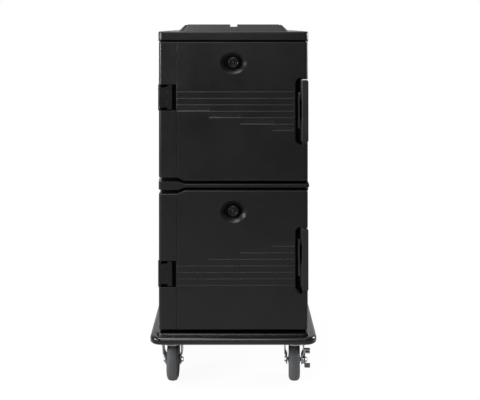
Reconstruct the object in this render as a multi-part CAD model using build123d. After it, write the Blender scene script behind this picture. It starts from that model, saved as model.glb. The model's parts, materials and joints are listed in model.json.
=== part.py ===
from build123d import *
import math
import os

# Insulated food cart: two foam-filled compartments behind two side-hinged doors, on four casters.
# Millimetres. +Z is up, the doors face -Y, +X is the right side seen from the front.
# The origin is on the floor, under the middle of the base.

# Overall size
OVERALL_WIDTH = 520
OVERALL_DEPTH = 690
OVERALL_HEIGHT = 1140

# Walls and clearances shared by many pieces
SHELL_WALL = 5
LINER_WALL = 4
RUN_CLEAR = 0.06
SIDE_CLEAR = 0.5
FACE_CLEAR = 0.3

# Base, above the casters
WHEEL_RADIUS = 63.5
WHEEL_HEADROOM = 23
BUMPER_HEIGHT = 22
PLINTH_RISE = 6
BASE_BOTTOM = 2 * WHEEL_RADIUS + WHEEL_HEADROOM
BUMPER_TOP = BASE_BOTTOM + BUMPER_HEIGHT
BASE_TOP = BUMPER_TOP + PLINTH_RISE
BASE_CORNER_RADIUS = 36
BUMPER_ROLL = 10
PLINTH_INSET = 18

# Cover
PANEL_RISE = 22
COVER_EDGE = 26
COVER_TOP = OVERALL_HEIGHT - PANEL_RISE
COVER_BOTTOM = COVER_TOP - COVER_EDGE

# Doors and the shelf between them, stacked from the base to the cover
BASE_GAP = 10
COVER_GAP = 6
SHELF_GAP = 9.5
SHELF_THICK = 11
SHELF_BOSS = 7
DOOR_STACK = COVER_BOTTOM - BASE_TOP - BASE_GAP - COVER_GAP
DOOR_HEIGHT = (DOOR_STACK - SHELF_THICK - 2 * SHELF_GAP) / 2
LOWER_DOOR_BOTTOM = BASE_TOP + BASE_GAP
SHELF_BOTTOM = LOWER_DOOR_BOTTOM + DOOR_HEIGHT + SHELF_GAP
SHELF_TOP = SHELF_BOTTOM + SHELF_THICK
UPPER_DOOR_BOTTOM = SHELF_TOP + SHELF_GAP

# Plan sizes, from the base inwards
SIDE_MARGIN = 27
FRONT_MARGIN = 24
BACK_MARGIN = 20
BODY_INSET = 10
COVER_SIDE_LAP = 1.5
COVER_FRONT_LAP = 4
COVER_BACK_LAP = 6
SHELF_LAP = 4
DOOR_HALF_WIDTH = OVERALL_WIDTH / 2 - SIDE_MARGIN
BODY_HALF_WIDTH = DOOR_HALF_WIDTH - BODY_INSET
COVER_HALF_WIDTH = DOOR_HALF_WIDTH + COVER_SIDE_LAP
SHELF_HALF_WIDTH = DOOR_HALF_WIDTH + SHELF_LAP
DOOR_FRONT = -OVERALL_DEPTH / 2 + FRONT_MARGIN
DOOR_THICK = 59
DOOR_BACK = DOOR_FRONT + DOOR_THICK
SEAL_GAP = 5
BODY_FRONT = DOOR_BACK + SEAL_GAP
BODY_BACK = OVERALL_DEPTH / 2 - BACK_MARGIN
COVER_FRONT = DOOR_FRONT - COVER_FRONT_LAP
COVER_BACK = BODY_BACK + COVER_BACK_LAP
SHELF_BACK = BODY_BACK + SHELF_LAP
CORNER_RADIUS = 14
COLLAR_INSET = 2
COLLAR_LAP = 12

# Compartments, sized for full-size food pans of 325 x 530 mm
SIDE_INSULATION = 55
BACK_INSULATION = 37
CAVITY_HALF_WIDTH = BODY_HALF_WIDTH - SIDE_INSULATION
CAVITY_BACK = BODY_BACK - BACK_INSULATION
FRAME_MARGIN = 38
CAVITY_HEIGHT = DOOR_HEIGHT - 2 * FRAME_MARGIN
CAVITY_CORNER = 12
RAIL_PITCH = 45
RAIL_HEADROOM = 40
RAIL_COUNT = int((CAVITY_HEIGHT - RAIL_HEADROOM) // RAIL_PITCH)
RAIL_REACH = 13
RAIL_HEIGHT = 14
RAIL_SLOPE = 3
RAIL_SETBACK = 12
RAIL_BACK_GAP = 18
RAIL_LENGTH = CAVITY_BACK - BODY_FRONT - RAIL_SETBACK - RAIL_BACK_GAP

# Hand grips, moulded into both side walls
GRIP_LENGTH = 170
GRIP_HEIGHT = 46
GRIP_DEPTH = 26
GRIP_Y = (BODY_FRONT + BODY_BACK) / 2
GRIP_DROP = 140
GRIP_Z = COVER_BOTTOM - GRIP_DROP

# Door details
DOOR_EDGE_RADIUS = 10
DOOR_RIM_RADIUS = 3
DOOR_PANEL = 5
PLUG_DEPTH = 8
PLUG_INSET = 5
GASKET_WIDTH = 14
GASKET_MARGIN = 8
RELIEF = 10
RELIEF_LENGTH = 59
RELIEF_TAPER = 22
SEAM_INSET = 55
SEAM_X = -DOOR_HALF_WIDTH + SEAM_INSET
SEAM_WIDTH = 2
SEAM_DEPTH = 1.2

# Hinge, one on each door, turning about an upright pin at the door's front left corner
HINGE_BARREL = 6
HINGE_PIN = 2.5
HINGE_INSET = 4
HINGE_X = -DOOR_HALF_WIDTH + HINGE_INSET
HINGE_Y = DOOR_FRONT + HINGE_BARREL
HINGE_OFFSET = 43
HINGE_NOTCH_HEIGHT = 82
HINGE_NOTCH_DEPTH = 14
HINGE_SLOT_WIDTH = 10
HINGE_SLOT_RIGHT = -DOOR_HALF_WIDTH + HINGE_SLOT_WIDTH
HINGE_LEAF_HALF = 31
HINGE_SEAM_GAP = 13
HINGE_LEAF_RIGHT = SEAM_X - HINGE_SEAM_GAP
HINGE_PLATE_HALF = 38
HINGE_PLATE_WIDTH = 14
HINGE_PLATE_LEFT = HINGE_LEAF_RIGHT - HINGE_PLATE_WIDTH
HINGE_ARM_THICK = 6
HINGE_ARM_LEFT = HINGE_X - HINGE_ARM_THICK / 3
HINGE_ARM_RIGHT = HINGE_ARM_LEFT + HINGE_ARM_THICK
BODY_LEAF_THICK = 5
BODY_LEAF_LENGTH = 50

# Latch, one on each door, a lever turning about an upright pin on the cart's right side
LATCH_PIN = 2.5
LATCH_BARREL = 5.5
LATCH_PLATE = 3
LATCH_X = BODY_HALF_WIDTH + LATCH_PLATE + LATCH_BARREL + SIDE_CLEAR
LATCH_SETBACK = 17
LATCH_Y = BODY_FRONT + LATCH_SETBACK
LATCH_KNUCKLE_HALF = 29
LATCH_EAR = 9
LATCH_HALF_HEIGHT = 97
LATCH_ARM_HALF = 62
LATCH_RECESS_HALF = 106
LATCH_END_GAP = 2.5
LATCH_RECESS_WIDTH = 40
LATCH_RECESS_LEFT = DOOR_HALF_WIDTH - LATCH_RECESS_WIDTH
LATCH_RECESS_CORNER = 20
LATCH_SLOT_WIDTH = 22
LATCH_SLOT_LEFT = DOOR_HALF_WIDTH - LATCH_SLOT_WIDTH
LATCH_POCKET_DEPTH = 40
LATCH_GRIP_GAP = 3
LATCH_GRIP_PROUD = 1.5
LATCH_GRIP_LEFT = LATCH_SLOT_LEFT + LATCH_GRIP_GAP
LATCH_GRIP_RIGHT = DOOR_HALF_WIDTH + LATCH_GRIP_PROUD
LATCH_GRIP_THICK = 10
LATCH_ARM_THICK = 5.5
KEEPER_INSET = 10
KEEPER_LEFT = LATCH_RECESS_LEFT + KEEPER_INSET
KEEPER_WIDTH = 6
KEEPER_HEIGHT = 112
KEEPER_REACH = 19

# Vent, a plug that pulls out of a sleeve through each door
VENT_BELOW_DOOR_TOP = 65
VENT_DISH_WIDTH = 82
VENT_DISH_HEIGHT = 71
VENT_DISH_DEPTH = 12
VENT_DISH_SLOPE = 12
VENT_SLEEVE = 17
VENT_BORE = 13
VENT_CAP = 16.5
VENT_CAP_THICK = 7
VENT_CAP_RING = 11
VENT_CAP_BUTTON = 4
VENT_STEM = 10
VENT_STEM_SHORT = 4
VENT_GROOVE = 2
VENT_SEAL_WIDTH = 4

# Door stripes, shallow wedge cuts in columns that each run one stripe further
STRIPE_PITCH = 20.2
STRIPE_DEPTH = 2.2
STRIPE_HEIGHT = 18
STRIPE_LEFT = SEAM_X + SEAM_WIDTH
STRIPE_END_GAP = 5
STRIPE_SPAN = LATCH_RECESS_LEFT - STRIPE_LEFT - STRIPE_END_GAP
STRIPE_SHARES = (0.27, 0.27, 0.275, 0.185)
STRIPE_START = 60.5
STRIPE_ROWS = 4

# Raised panel on the cover
PANEL_SIDE_EDGE = 57.5
PANEL_END_EDGE = 63
PANEL_WIDTH = 2 * (COVER_HALF_WIDTH - PANEL_SIDE_EDGE)
PANEL_DEPTH = COVER_BACK - COVER_FRONT - 2 * PANEL_END_EDGE
PANEL_SLOPE = 22
PANEL_FOOT_RADIUS = 24
PANEL_HEAD_RADIUS = 12
PANEL_CHANNEL_WIDTH = 26
PANEL_CHANNEL_DEPTH = 8

# Casters
CASTER_MARGIN = 67
REAR_CASTER_MARGIN = 90
CASTER_X = OVERALL_WIDTH / 2 - CASTER_MARGIN
FRONT_CASTER_Y = -OVERALL_DEPTH / 2 + CASTER_MARGIN
REAR_CASTER_Y = OVERALL_DEPTH / 2 - REAR_CASTER_MARGIN
CASTER_TRAIL = 33
CASTER_TURN = 4
TYRE_WIDTH = 36
TYRE_SHOULDER = 9
TYRE_THICK = 16.5
TYRE_INNER = WHEEL_RADIUS - TYRE_THICK
HUB_WIDTH = 42
HUB_RIM = 6
HUB_RIM_INSET = 3
HUB_WEB = 9
HUB_BOSS = 14
PLATE_THICK = 4
PLATE_WIDTH = 84
PLATE_LENGTH = 104
RACE_HEIGHT = 10
FORK_CLEAR = 1
FORK_THICK = 4
FORK_TOP = BASE_BOTTOM - PLATE_THICK - RACE_HEIGHT
FORK_HEAD = 30
FORK_LEG_FRONT = 22
FORK_LEG_BACK = 34
FORK_FOOT = 13
FORK_SPLAY = 5.5
FORK_NECK = 16
FORK_SHOULDER = 30
RIGID_LEG = 30
BOLT_SPAN_X = 60
BOLT_SPAN_Y = 80
BOLT_RADIUS = 4
BOLT_DEPTH = 18
BOLT_HEAD = 6.5
BOLT_HEAD_THICK = 4
KINGPIN = 6
KINGPIN_HEAD = 10
AXLE = 5
AXLE_HEAD = 8
AXLE_HEAD_THICK = 5
AXLE_END = 2
BRAKE_THICK = 3
BRAKE_BOSS = 13
BRAKE_ARM_HALF = 7
BRAKE_REACH = 15
BRAKE_TAB_HALF = 6
BRAKE_UPPER = (-29, 41)
BRAKE_LOWER = (-40, 1)

# Screws
SCREW_RADIUS = 2.2
SCREW_HEAD = 4.2
SCREW_HEAD_THICK = 2.4
SCREW_SUNK = 0.4
HINGE_SCREW_STEP = 25
LATCH_SCREW_STEP = 22

# How far a cutting shape runs past the face that it opens
CUT_PAST = 1


def block(x0, x1, y0, y1, z0, z1):
    """A box between two corners."""
    return Pos((x0 + x1) / 2, (y0 + y1) / 2, (z0 + z1) / 2) * Box(x1 - x0, y1 - y0, z1 - z0)


def rod_z(x, y, z0, z1, radius):
    """An upright cylinder."""
    return Pos(x, y, (z0 + z1) / 2) * Cylinder(radius, z1 - z0)


def rod_y(x, z, y0, y1, radius):
    """A cylinder along Y."""
    return Pos(x, (y0 + y1) / 2, z) * Rot(90, 0, 0) * Cylinder(radius, y1 - y0)


def rod_x(y, z, x0, x1, radius):
    """A cylinder along X."""
    return Pos((x0 + x1) / 2, y, z) * Rot(0, 90, 0) * Cylinder(radius, x1 - x0)


def hex_x(y, z, x0, x1, radius):
    """A hexagonal bar along X."""
    face = Plane.YZ * RegularPolygon(radius, 6)
    return Pos(x0, y, z) * extrude(face, x1 - x0)


def slab(half_width, y0, y1, z0, z1, radius):
    """An upright-cornered slab with rounded plan corners."""
    plan = RectangleRounded(2 * half_width, y1 - y0, radius)
    return Pos(0, (y0 + y1) / 2, z0) * extrude(plan, z1 - z0)


def front_profile(points, y0, y1):
    """A shape drawn as (x, z) points on the front and carried from y0 to y1."""
    face = make_face(Polyline(*[(x, y0, z) for x, z in points], close=True))
    return extrude(face, y1 - y0, dir=(0, 1, 0))


def side_profile(points, x0, x1):
    """A shape drawn as (y, z) points on a side and carried from x0 to x1."""
    face = make_face(Polyline(*[(x0, y, z) for y, z in points], close=True))
    return extrude(face, x1 - x0, dir=(1, 0, 0))


def save(name, shape):
    """Write one node's file."""
    export_step(shape, f"parts/{name}.step")


class Door:
    """The places that one door, its compartment and its fittings share.

    Both doors have one moulding; turn is -1 for the lower door, which hangs upside down.
    """

    def __init__(self, name, bottom, turn):
        self.name = name
        self.turn = turn
        self.bottom = bottom
        self.top = bottom + DOOR_HEIGHT
        self.middle = bottom + DOOR_HEIGHT / 2
        self.hinge_z = self.middle + turn * HINGE_OFFSET
        self.vent_z = self.top - VENT_BELOW_DOOR_TOP
        self.cavity_bottom = bottom + FRAME_MARGIN
        self.cavity_top = self.cavity_bottom + CAVITY_HEIGHT


UPPER = Door("upper", UPPER_DOOR_BOTTOM, 1)
LOWER = Door("lower", LOWER_DOOR_BOTTOM, -1)
DOORS = (UPPER, LOWER)


def caster_places():
    """The plan centres of the four caster plates, front pair first."""
    front = [(-CASTER_X, FRONT_CASTER_Y), (CASTER_X, FRONT_CASTER_Y)]
    rear = [(-CASTER_X, REAR_CASTER_Y), (CASTER_X, REAR_CASTER_Y)]
    return front + rear


def bolt_places(x, y):
    """The four bolt centres of a caster plate."""
    across = BOLT_SPAN_X / 2
    along = BOLT_SPAN_Y / 2
    return [(x + i * across, y + j * along) for i in (-1, 1) for j in (-1, 1)]


# Cabinet

def base_moulding():
    """The bumper base with a plinth step, drilled for the caster bolts."""
    half = OVERALL_WIDTH / 2
    front = -OVERALL_DEPTH / 2
    bumper = slab(half, front, -front, BASE_BOTTOM, BUMPER_TOP, BASE_CORNER_RADIUS)
    bumper = fillet(bumper.edges().group_by(Axis.Z)[-1], BUMPER_ROLL)
    bumper = fillet(bumper.edges().group_by(Axis.Z)[0], BUMPER_ROLL / 2)
    inset = half - PLINTH_INSET
    back = -front - PLINTH_INSET
    sunk = (BASE_BOTTOM + BUMPER_TOP) / 2
    plinth = slab(inset, -back, back, sunk, BASE_TOP, BASE_CORNER_RADIUS - PLINTH_INSET / 2)
    plinth = fillet(plinth.edges().group_by(Axis.Z)[-1], (BASE_TOP - BUMPER_TOP) / 2)
    base = bumper + plinth
    for x, y in caster_places():
        for bx, by in bolt_places(x, y):
            base -= rod_z(bx, by, BASE_BOTTOM - CUT_PAST, BASE_BOTTOM + BOLT_DEPTH, BOLT_RADIUS)
    return base


def shelf():
    """The rail between the doors, carried round the sides and thicker at the hinge side."""
    rail = slab(SHELF_HALF_WIDTH, DOOR_FRONT, SHELF_BACK, SHELF_BOTTOM, SHELF_TOP, CORNER_RADIUS / 2)
    rims = rail.edges().group_by(Axis.Z)
    rail = fillet(rims[0] + rims[-1], SHELF_THICK / 5)
    left = -SHELF_HALF_WIDTH
    flat = -DOOR_HALF_WIDTH + RELIEF_LENGTH
    end = flat + RELIEF_TAPER
    low = SHELF_BOTTOM - SHELF_BOSS
    high = SHELF_TOP + SHELF_BOSS
    boss = [(left, low), (left, high), (flat, high), (end, SHELF_TOP), (end, SHELF_BOTTOM), (flat, low)]
    return rail + front_profile(boss, DOOR_FRONT, BODY_FRONT)


def liner_outside(door):
    """The block that a compartment's liner takes up."""
    half = CAVITY_HALF_WIDTH + LINER_WALL
    low = door.cavity_bottom - LINER_WALL
    high = door.cavity_top + LINER_WALL
    return block(-half, half, BODY_FRONT, CAVITY_BACK + LINER_WALL, low, high)


def hand_grips(wall):
    """The round-ended hand grips in both side walls, grown by a wall thickness."""
    grips = []
    length = GRIP_LENGTH + 2 * wall
    height = GRIP_HEIGHT + 2 * wall
    for side in (-1, 1):
        mouth = Plane((side * BODY_HALF_WIDTH, GRIP_Y, GRIP_Z), x_dir=(0, 1, 0), z_dir=(side, 0, 0))
        grips.append(extrude(mouth * SlotOverall(length, height), -(GRIP_DEPTH + wall)))
    return grips


def body_inside():
    """The foamed space inside the outer walls, open upwards into the cover."""
    half = BODY_HALF_WIDTH - SHELL_WALL
    front = BODY_FRONT + SHELL_WALL
    back = BODY_BACK - SHELL_WALL
    space = block(-half, half, front, back, BASE_TOP + SHELL_WALL, COVER_TOP - SHELL_WALL)
    for grip in hand_grips(SHELL_WALL):
        space -= grip
    return space


def collars():
    """The wider parts of the front frame behind the gaps above, between and below the doors."""
    half = DOOR_HALF_WIDTH - COLLAR_INSET
    back = BODY_FRONT + CORNER_RADIUS
    below = (BASE_TOP, LOWER.bottom + COLLAR_LAP)
    between = (LOWER.top - COLLAR_LAP, UPPER.bottom + COLLAR_LAP)
    above = (UPPER.top - COLLAR_LAP, COVER_BOTTOM)
    return [block(-half, half, BODY_FRONT, back, low, high) for low, high in (below, between, above)]


def body_shell():
    """The outer walls with the front frame and the shelf between the doors."""
    shell = slab(BODY_HALF_WIDTH, BODY_FRONT, BODY_BACK, BASE_TOP, COVER_BOTTOM, CORNER_RADIUS)
    for collar in collars():
        shell += collar
    shell = shell + shelf() - body_inside()
    for door in DOORS:
        shell -= liner_outside(door)
    for grip in hand_grips(0):
        shell -= grip
    return shell


def liner(door):
    """A compartment's inner tub, open at the front."""
    half = CAVITY_HALF_WIDTH
    space = block(-half, half, BODY_FRONT, CAVITY_BACK, door.cavity_bottom, door.cavity_top)
    space = fillet(space.edges().filter_by(Axis.Y), CAVITY_CORNER)
    return liner_outside(door) - space


def pan_rails(door):
    """The ledges that carry the pans, on both side walls."""
    ledges = []
    front = BODY_FRONT + RAIL_SETBACK
    for side in (-1, 1):
        wall = side * CAVITY_HALF_WIDTH
        tip = side * (CAVITY_HALF_WIDTH - RAIL_REACH)
        for i in range(RAIL_COUNT):
            top = door.cavity_bottom + RAIL_PITCH * (i + 1)
            low = top - RAIL_HEIGHT
            shape = [(wall, low - RAIL_SLOPE), (tip, low + RAIL_SLOPE), (tip, top), (wall, top)]
            ledges.append(front_profile(shape, front, front + RAIL_LENGTH))
    return Compound(children=ledges)


def raised_panel():
    """The sloped panel on the cover."""
    middle = (COVER_FRONT + COVER_BACK) / 2
    wide = PANEL_WIDTH - 2 * PANEL_SLOPE
    deep = PANEL_DEPTH - 2 * PANEL_SLOPE
    low = Pos(0, middle, COVER_TOP) * RectangleRounded(PANEL_WIDTH, PANEL_DEPTH, PANEL_FOOT_RADIUS)
    high = Pos(0, middle, OVERALL_HEIGHT) * RectangleRounded(wide, deep, PANEL_HEAD_RADIUS)
    return loft([low, high])


def top_cover():
    """The overhanging cover, hollow below, with a channelled panel on top."""
    cover = slab(COVER_HALF_WIDTH, COVER_FRONT, COVER_BACK, COVER_BOTTOM, COVER_TOP, CORNER_RADIUS)
    cover = fillet(cover.edges().group_by(Axis.Z)[-1], COVER_EDGE / 6)
    cover += raised_panel()
    half = PANEL_CHANNEL_WIDTH / 2
    floor = OVERALL_HEIGHT - PANEL_CHANNEL_DEPTH
    cover -= block(-half, half, COVER_FRONT, COVER_BACK, floor, OVERALL_HEIGHT + CUT_PAST)
    return cover - body_inside()


def foam_core():
    """The insulation between the outer walls and the two liners."""
    core = body_inside()
    for door in DOORS:
        core -= liner_outside(door)
    return core


# Doors

def door_outline(door):
    """The door's front outline, with its hinge-side corner relieved beside the shelf."""
    left = -DOOR_HALF_WIDTH
    right = DOOR_HALF_WIDTH
    flat = left + RELIEF_LENGTH
    end = flat + RELIEF_TAPER
    far = DOOR_HEIGHT / 2
    near = -far
    step = near + RELIEF
    outline = [(left, step), (flat, step), (end, near), (right, near), (right, far), (left, far)]
    return [(x, door.middle + door.turn * rise) for x, rise in outline]


def hinge_cuts(door, wall):
    """The notch for the hinge and the slot for the body leaf's arms, grown by a wall thickness."""
    half = HINGE_NOTCH_HEIGHT / 2 + wall
    low = door.hinge_z - half
    high = door.hinge_z + half
    outside = -DOOR_HALF_WIDTH - CUT_PAST
    front = DOOR_FRONT - CUT_PAST
    floor = DOOR_FRONT + HINGE_NOTCH_DEPTH + wall
    notch = block(outside, SEAM_X + wall, front, floor, low, high)
    slot = block(outside, HINGE_SLOT_RIGHT + wall, front, DOOR_BACK + PLUG_DEPTH, low, high)
    return notch + slot


def latch_cuts(door, wall):
    """The finger pocket and the open side slot for the latch lever, grown by a wall thickness."""
    tall = LATCH_RECESS_HALF + wall
    half = LATCH_HALF_HEIGHT + LATCH_END_GAP + wall
    outside = DOOR_HALF_WIDTH + CUT_PAST
    front = DOOR_FRONT - CUT_PAST
    floor = DOOR_FRONT + LATCH_POCKET_DEPTH + wall
    left = LATCH_RECESS_LEFT - wall
    right = LATCH_GRIP_LEFT + wall
    pocket = block(left, right, front, floor, door.middle - tall, door.middle + tall)
    pocket = fillet(pocket.edges().filter_by(Axis.Y).group_by(Axis.X)[0], LATCH_RECESS_CORNER)
    back = DOOR_BACK + PLUG_DEPTH
    slot = block(LATCH_SLOT_LEFT - wall, outside, front, back, door.middle - half, door.middle + half)
    return pocket + slot


def vent_dish(door):
    """The sloped oval dish around the vent."""
    wide = VENT_DISH_WIDTH / 2
    tall = VENT_DISH_HEIGHT / 2
    mouth = Plane((0, DOOR_FRONT, door.vent_z), x_dir=(1, 0, 0), z_dir=(0, -1, 0)) * Ellipse(wide, tall)
    deep = DOOR_FRONT + VENT_DISH_DEPTH
    inner = Ellipse(wide - VENT_DISH_SLOPE, tall - VENT_DISH_SLOPE)
    floor = Plane((0, deep, door.vent_z), x_dir=(1, 0, 0), z_dir=(0, -1, 0)) * inner
    return loft([mouth, floor])


def stripe(x0, x1, ledge, turn):
    """One wedge cut with a sloped ledge, running out upwards, or downwards on a turned door."""
    past = CUT_PAST / 2
    proud = DOOR_FRONT - past
    deep = DOOR_FRONT + STRIPE_DEPTH
    foot = ledge - turn * past
    shape = [(proud, foot), (deep, ledge + turn * STRIPE_DEPTH), (proud, ledge + turn * STRIPE_HEIGHT)]
    return side_profile(shape, x0, x1)


def stripes(door):
    """The door's columns of stripes, each column a stripe longer than the one before."""
    cuts = []
    left = STRIPE_LEFT
    for column, share in enumerate(STRIPE_SHARES):
        width = share * STRIPE_SPAN
        for row in range(STRIPE_ROWS + column):
            ledge = door.middle + door.turn * (STRIPE_START - STRIPE_PITCH * row)
            cuts.append(stripe(left, left + width, ledge, door.turn))
        left += width
    return cuts


def door_shell(door):
    """The door's outer skin, a deep dish with its mouth to the back."""
    mouth = DOOR_BACK - DOOR_PANEL
    skin = front_profile(door_outline(door), DOOR_FRONT, mouth)
    front = skin.faces().sort_by(Axis.Y)[0]
    skin = fillet(front.edges().filter_by(Axis.Z), DOOR_EDGE_RADIUS)
    skin = fillet(skin.faces().sort_by(Axis.Y)[0].edges(), DOOR_RIM_RADIUS)
    skin = skin - hinge_cuts(door, 0) - latch_cuts(door, 0) - vent_dish(door)
    skin -= door_space(door, mouth + CUT_PAST)
    skin -= rod_y(0, door.vent_z, DOOR_FRONT, mouth, VENT_SLEEVE)
    seam_floor = DOOR_FRONT + SEAM_DEPTH
    skin -= block(SEAM_X, STRIPE_LEFT, DOOR_FRONT - CUT_PAST, seam_floor, door.bottom, door.top)
    for cut in stripes(door):
        skin -= cut
    return skin


def door_space(door, back):
    """The foamed space inside the door's skin."""
    wall = SHELL_WALL
    near = door.middle - door.turn * (DOOR_HEIGHT / 2 - wall - RELIEF)
    far = door.middle + door.turn * (DOOR_HEIGHT / 2 - wall)
    low, high = sorted((near, far))
    half = DOOR_HALF_WIDTH - wall
    space = block(-half, half, DOOR_FRONT + wall, back, low, high)
    space = space - hinge_cuts(door, wall) - latch_cuts(door, wall)
    dish_floor = DOOR_FRONT + VENT_DISH_DEPTH + wall
    around_dish = block(-VENT_DISH_WIDTH / 2 - wall, VENT_DISH_WIDTH / 2 + wall, DOOR_FRONT, dish_floor,
                        door.vent_z - VENT_DISH_HEIGHT / 2 - wall, door.vent_z + VENT_DISH_HEIGHT / 2 + wall)
    return space - around_dish


def door_foam(door):
    """The insulation inside the door, bored for the vent sleeve."""
    mouth = DOOR_BACK - DOOR_PANEL
    return door_space(door, mouth) - rod_y(0, door.vent_z, DOOR_FRONT, mouth, VENT_SLEEVE)


def door_panel(door):
    """The back panel with a raised plug that enters the compartment's mouth."""
    mouth = DOOR_BACK - DOOR_PANEL
    panel = front_profile(door_outline(door), mouth, DOOR_BACK)
    half = CAVITY_HALF_WIDTH - PLUG_INSET
    low = door.cavity_bottom + PLUG_INSET
    high = door.cavity_top - PLUG_INSET
    plug = block(-half, half, mouth, DOOR_BACK + PLUG_DEPTH, low, high)
    plug = fillet(plug.edges().filter_by(Axis.Y), CAVITY_CORNER)
    panel = panel + plug - hinge_cuts(door, 0) - latch_cuts(door, 0)
    return panel - rod_y(0, door.vent_z, mouth, DOOR_BACK + PLUG_DEPTH, VENT_SLEEVE)


def door_gasket(door):
    """The rubber seal round the plug, just clear of the body's front frame when shut."""
    half = CAVITY_HALF_WIDTH + GASKET_MARGIN
    low = door.cavity_bottom - GASKET_MARGIN
    high = door.cavity_top + GASKET_MARGIN
    back = BODY_FRONT - FACE_CLEAR
    grow = GASKET_WIDTH
    outer = block(-half - grow, half + grow, DOOR_BACK, back, low - grow, high + grow)
    outer = fillet(outer.edges().filter_by(Axis.Y), CAVITY_CORNER + grow)
    inner = block(-half, half, DOOR_BACK, back, low, high)
    return outer - fillet(inner.edges().filter_by(Axis.Y), CAVITY_CORNER)


# Hinges

def hinge_door_leaf(door):
    """The thick leaf in the door's notch, with the middle knuckle."""
    low = door.hinge_z - HINGE_LEAF_HALF
    high = door.hinge_z + HINGE_LEAF_HALF
    face = HINGE_Y - HINGE_BARREL
    floor = DOOR_FRONT + HINGE_NOTCH_DEPTH
    plate_low = door.hinge_z - HINGE_PLATE_HALF
    plate_high = door.hinge_z + HINGE_PLATE_HALF
    leaf = block(HINGE_X, HINGE_LEAF_RIGHT, face, floor, low, high)
    leaf += block(HINGE_PLATE_LEFT, HINGE_LEAF_RIGHT, face, floor, plate_low, plate_high)
    leaf += rod_z(HINGE_X, HINGE_Y, low, high, HINGE_BARREL)
    leaf -= rod_z(HINGE_X, HINGE_Y, low, high, HINGE_PIN + RUN_CLEAR)
    for x, z in door_screw_places(door):
        leaf -= rod_y(x, z, face, floor, SCREW_RADIUS)
        leaf -= rod_y(x, z, face, face + SCREW_HEAD_THICK, SCREW_HEAD)
    return leaf


def door_screw_places(door):
    """The (x, z) centres of the door leaf's screws."""
    x = (HINGE_X + HINGE_BARREL + HINGE_LEAF_RIGHT) / 2
    return [(x, door.hinge_z - HINGE_LEAF_HALF / 2), (x, door.hinge_z + HINGE_LEAF_HALF / 2)]


def hinge_door_screws(door):
    """Two screws, heads sunk in the leaf, that hold it to the door's skin."""
    face = HINGE_Y - HINGE_BARREL
    floor = DOOR_FRONT + HINGE_NOTCH_DEPTH
    screws = []
    for x, z in door_screw_places(door):
        head = rod_y(x, z, face + SCREW_SUNK, face + SCREW_HEAD_THICK, SCREW_HEAD)
        screws.append(head + rod_y(x, z, face + SCREW_HEAD_THICK, floor, SCREW_RADIUS))
    return Compound(children=screws)


def hinge_body_leaf(door):
    """The leaf on the cart's left side, with an arm forward to each outer knuckle."""
    inner = HINGE_LEAF_HALF + SIDE_CLEAR
    outer = HINGE_NOTCH_HEIGHT / 2 - SIDE_CLEAR
    outside = -BODY_HALF_WIDTH - BODY_LEAF_THICK
    start = BODY_FRONT + CORNER_RADIUS
    end = start + BODY_LEAF_LENGTH
    leaf = block(outside, -BODY_HALF_WIDTH, start, end, door.hinge_z - outer, door.hinge_z + outer)
    for side in (-1, 1):
        low, high = sorted((door.hinge_z + side * inner, door.hinge_z + side * outer))
        leaf += block(HINGE_ARM_LEFT, HINGE_ARM_RIGHT, HINGE_Y, start + BODY_LEAF_THICK, low, high)
        leaf += rod_z(HINGE_X, HINGE_Y, low, high, HINGE_BARREL)
    leaf -= rod_z(HINGE_X, HINGE_Y, door.hinge_z - outer, door.hinge_z + outer, HINGE_PIN)
    for y, z in body_screw_places(door):
        leaf -= rod_x(y, z, outside, -BODY_HALF_WIDTH, SCREW_RADIUS)
    return leaf


def body_screw_places(door):
    """The (y, z) centres of the body leaf's screws."""
    y = BODY_FRONT + CORNER_RADIUS + BODY_LEAF_LENGTH * 0.6
    return [(y, door.hinge_z + step * HINGE_SCREW_STEP) for step in (-1, 0, 1)]


def hinge_body_screws():
    """Screws that hold both body leaves to the cart's left wall."""
    outside = -BODY_HALF_WIDTH - BODY_LEAF_THICK
    screws = []
    for door in DOORS:
        for y, z in body_screw_places(door):
            head = rod_x(y, z, outside - SCREW_HEAD_THICK, outside, SCREW_HEAD)
            screws.append(head + rod_x(y, z, outside, -BODY_HALF_WIDTH, SCREW_RADIUS))
    return Compound(children=screws)


def hinge_pins():
    """The two upright hinge pins."""
    reach = HINGE_NOTCH_HEIGHT / 2 - SIDE_CLEAR
    pins = [rod_z(HINGE_X, HINGE_Y, d.hinge_z - reach, d.hinge_z + reach, HINGE_PIN) for d in DOORS]
    return Compound(children=pins)


# Latches

def latch_lever(door):
    """The lever: a barrel on the pin, a flared arm along the door's side and a tall grip in front."""
    front = DOOR_FRONT + CUT_PAST
    neck = LATCH_Y - LATCH_BARREL - SIDE_CLEAR
    left = LATCH_GRIP_RIGHT - LATCH_ARM_THICK
    right = LATCH_GRIP_RIGHT - SIDE_CLEAR
    low = door.middle - LATCH_HALF_HEIGHT
    high = door.middle + LATCH_HALF_HEIGHT
    grip = block(LATCH_GRIP_LEFT, LATCH_GRIP_RIGHT, front, front + LATCH_GRIP_THICK, low, high)
    grip = fillet(grip.edges().filter_by(Axis.Y), LATCH_GRIP_THICK * 0.6)
    grip = fillet(grip.faces().sort_by(Axis.Y)[0].edges(), LATCH_GRIP_THICK / 4)
    back = front + LATCH_GRIP_THICK / 2
    low = door.middle - LATCH_KNUCKLE_HALF
    high = door.middle + LATCH_KNUCKLE_HALF
    wide_low = door.middle - LATCH_ARM_HALF
    wide_high = door.middle + LATCH_ARM_HALF
    arm = [(back, wide_low), (neck, low), (LATCH_Y, low), (LATCH_Y, high), (neck, high), (back, wide_high)]
    lever = grip + side_profile(arm, left, right)
    lever += rod_z(LATCH_X, LATCH_Y, low, high, LATCH_BARREL)
    return lever - rod_z(LATCH_X, LATCH_Y, low, high, LATCH_PIN + RUN_CLEAR)


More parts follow.
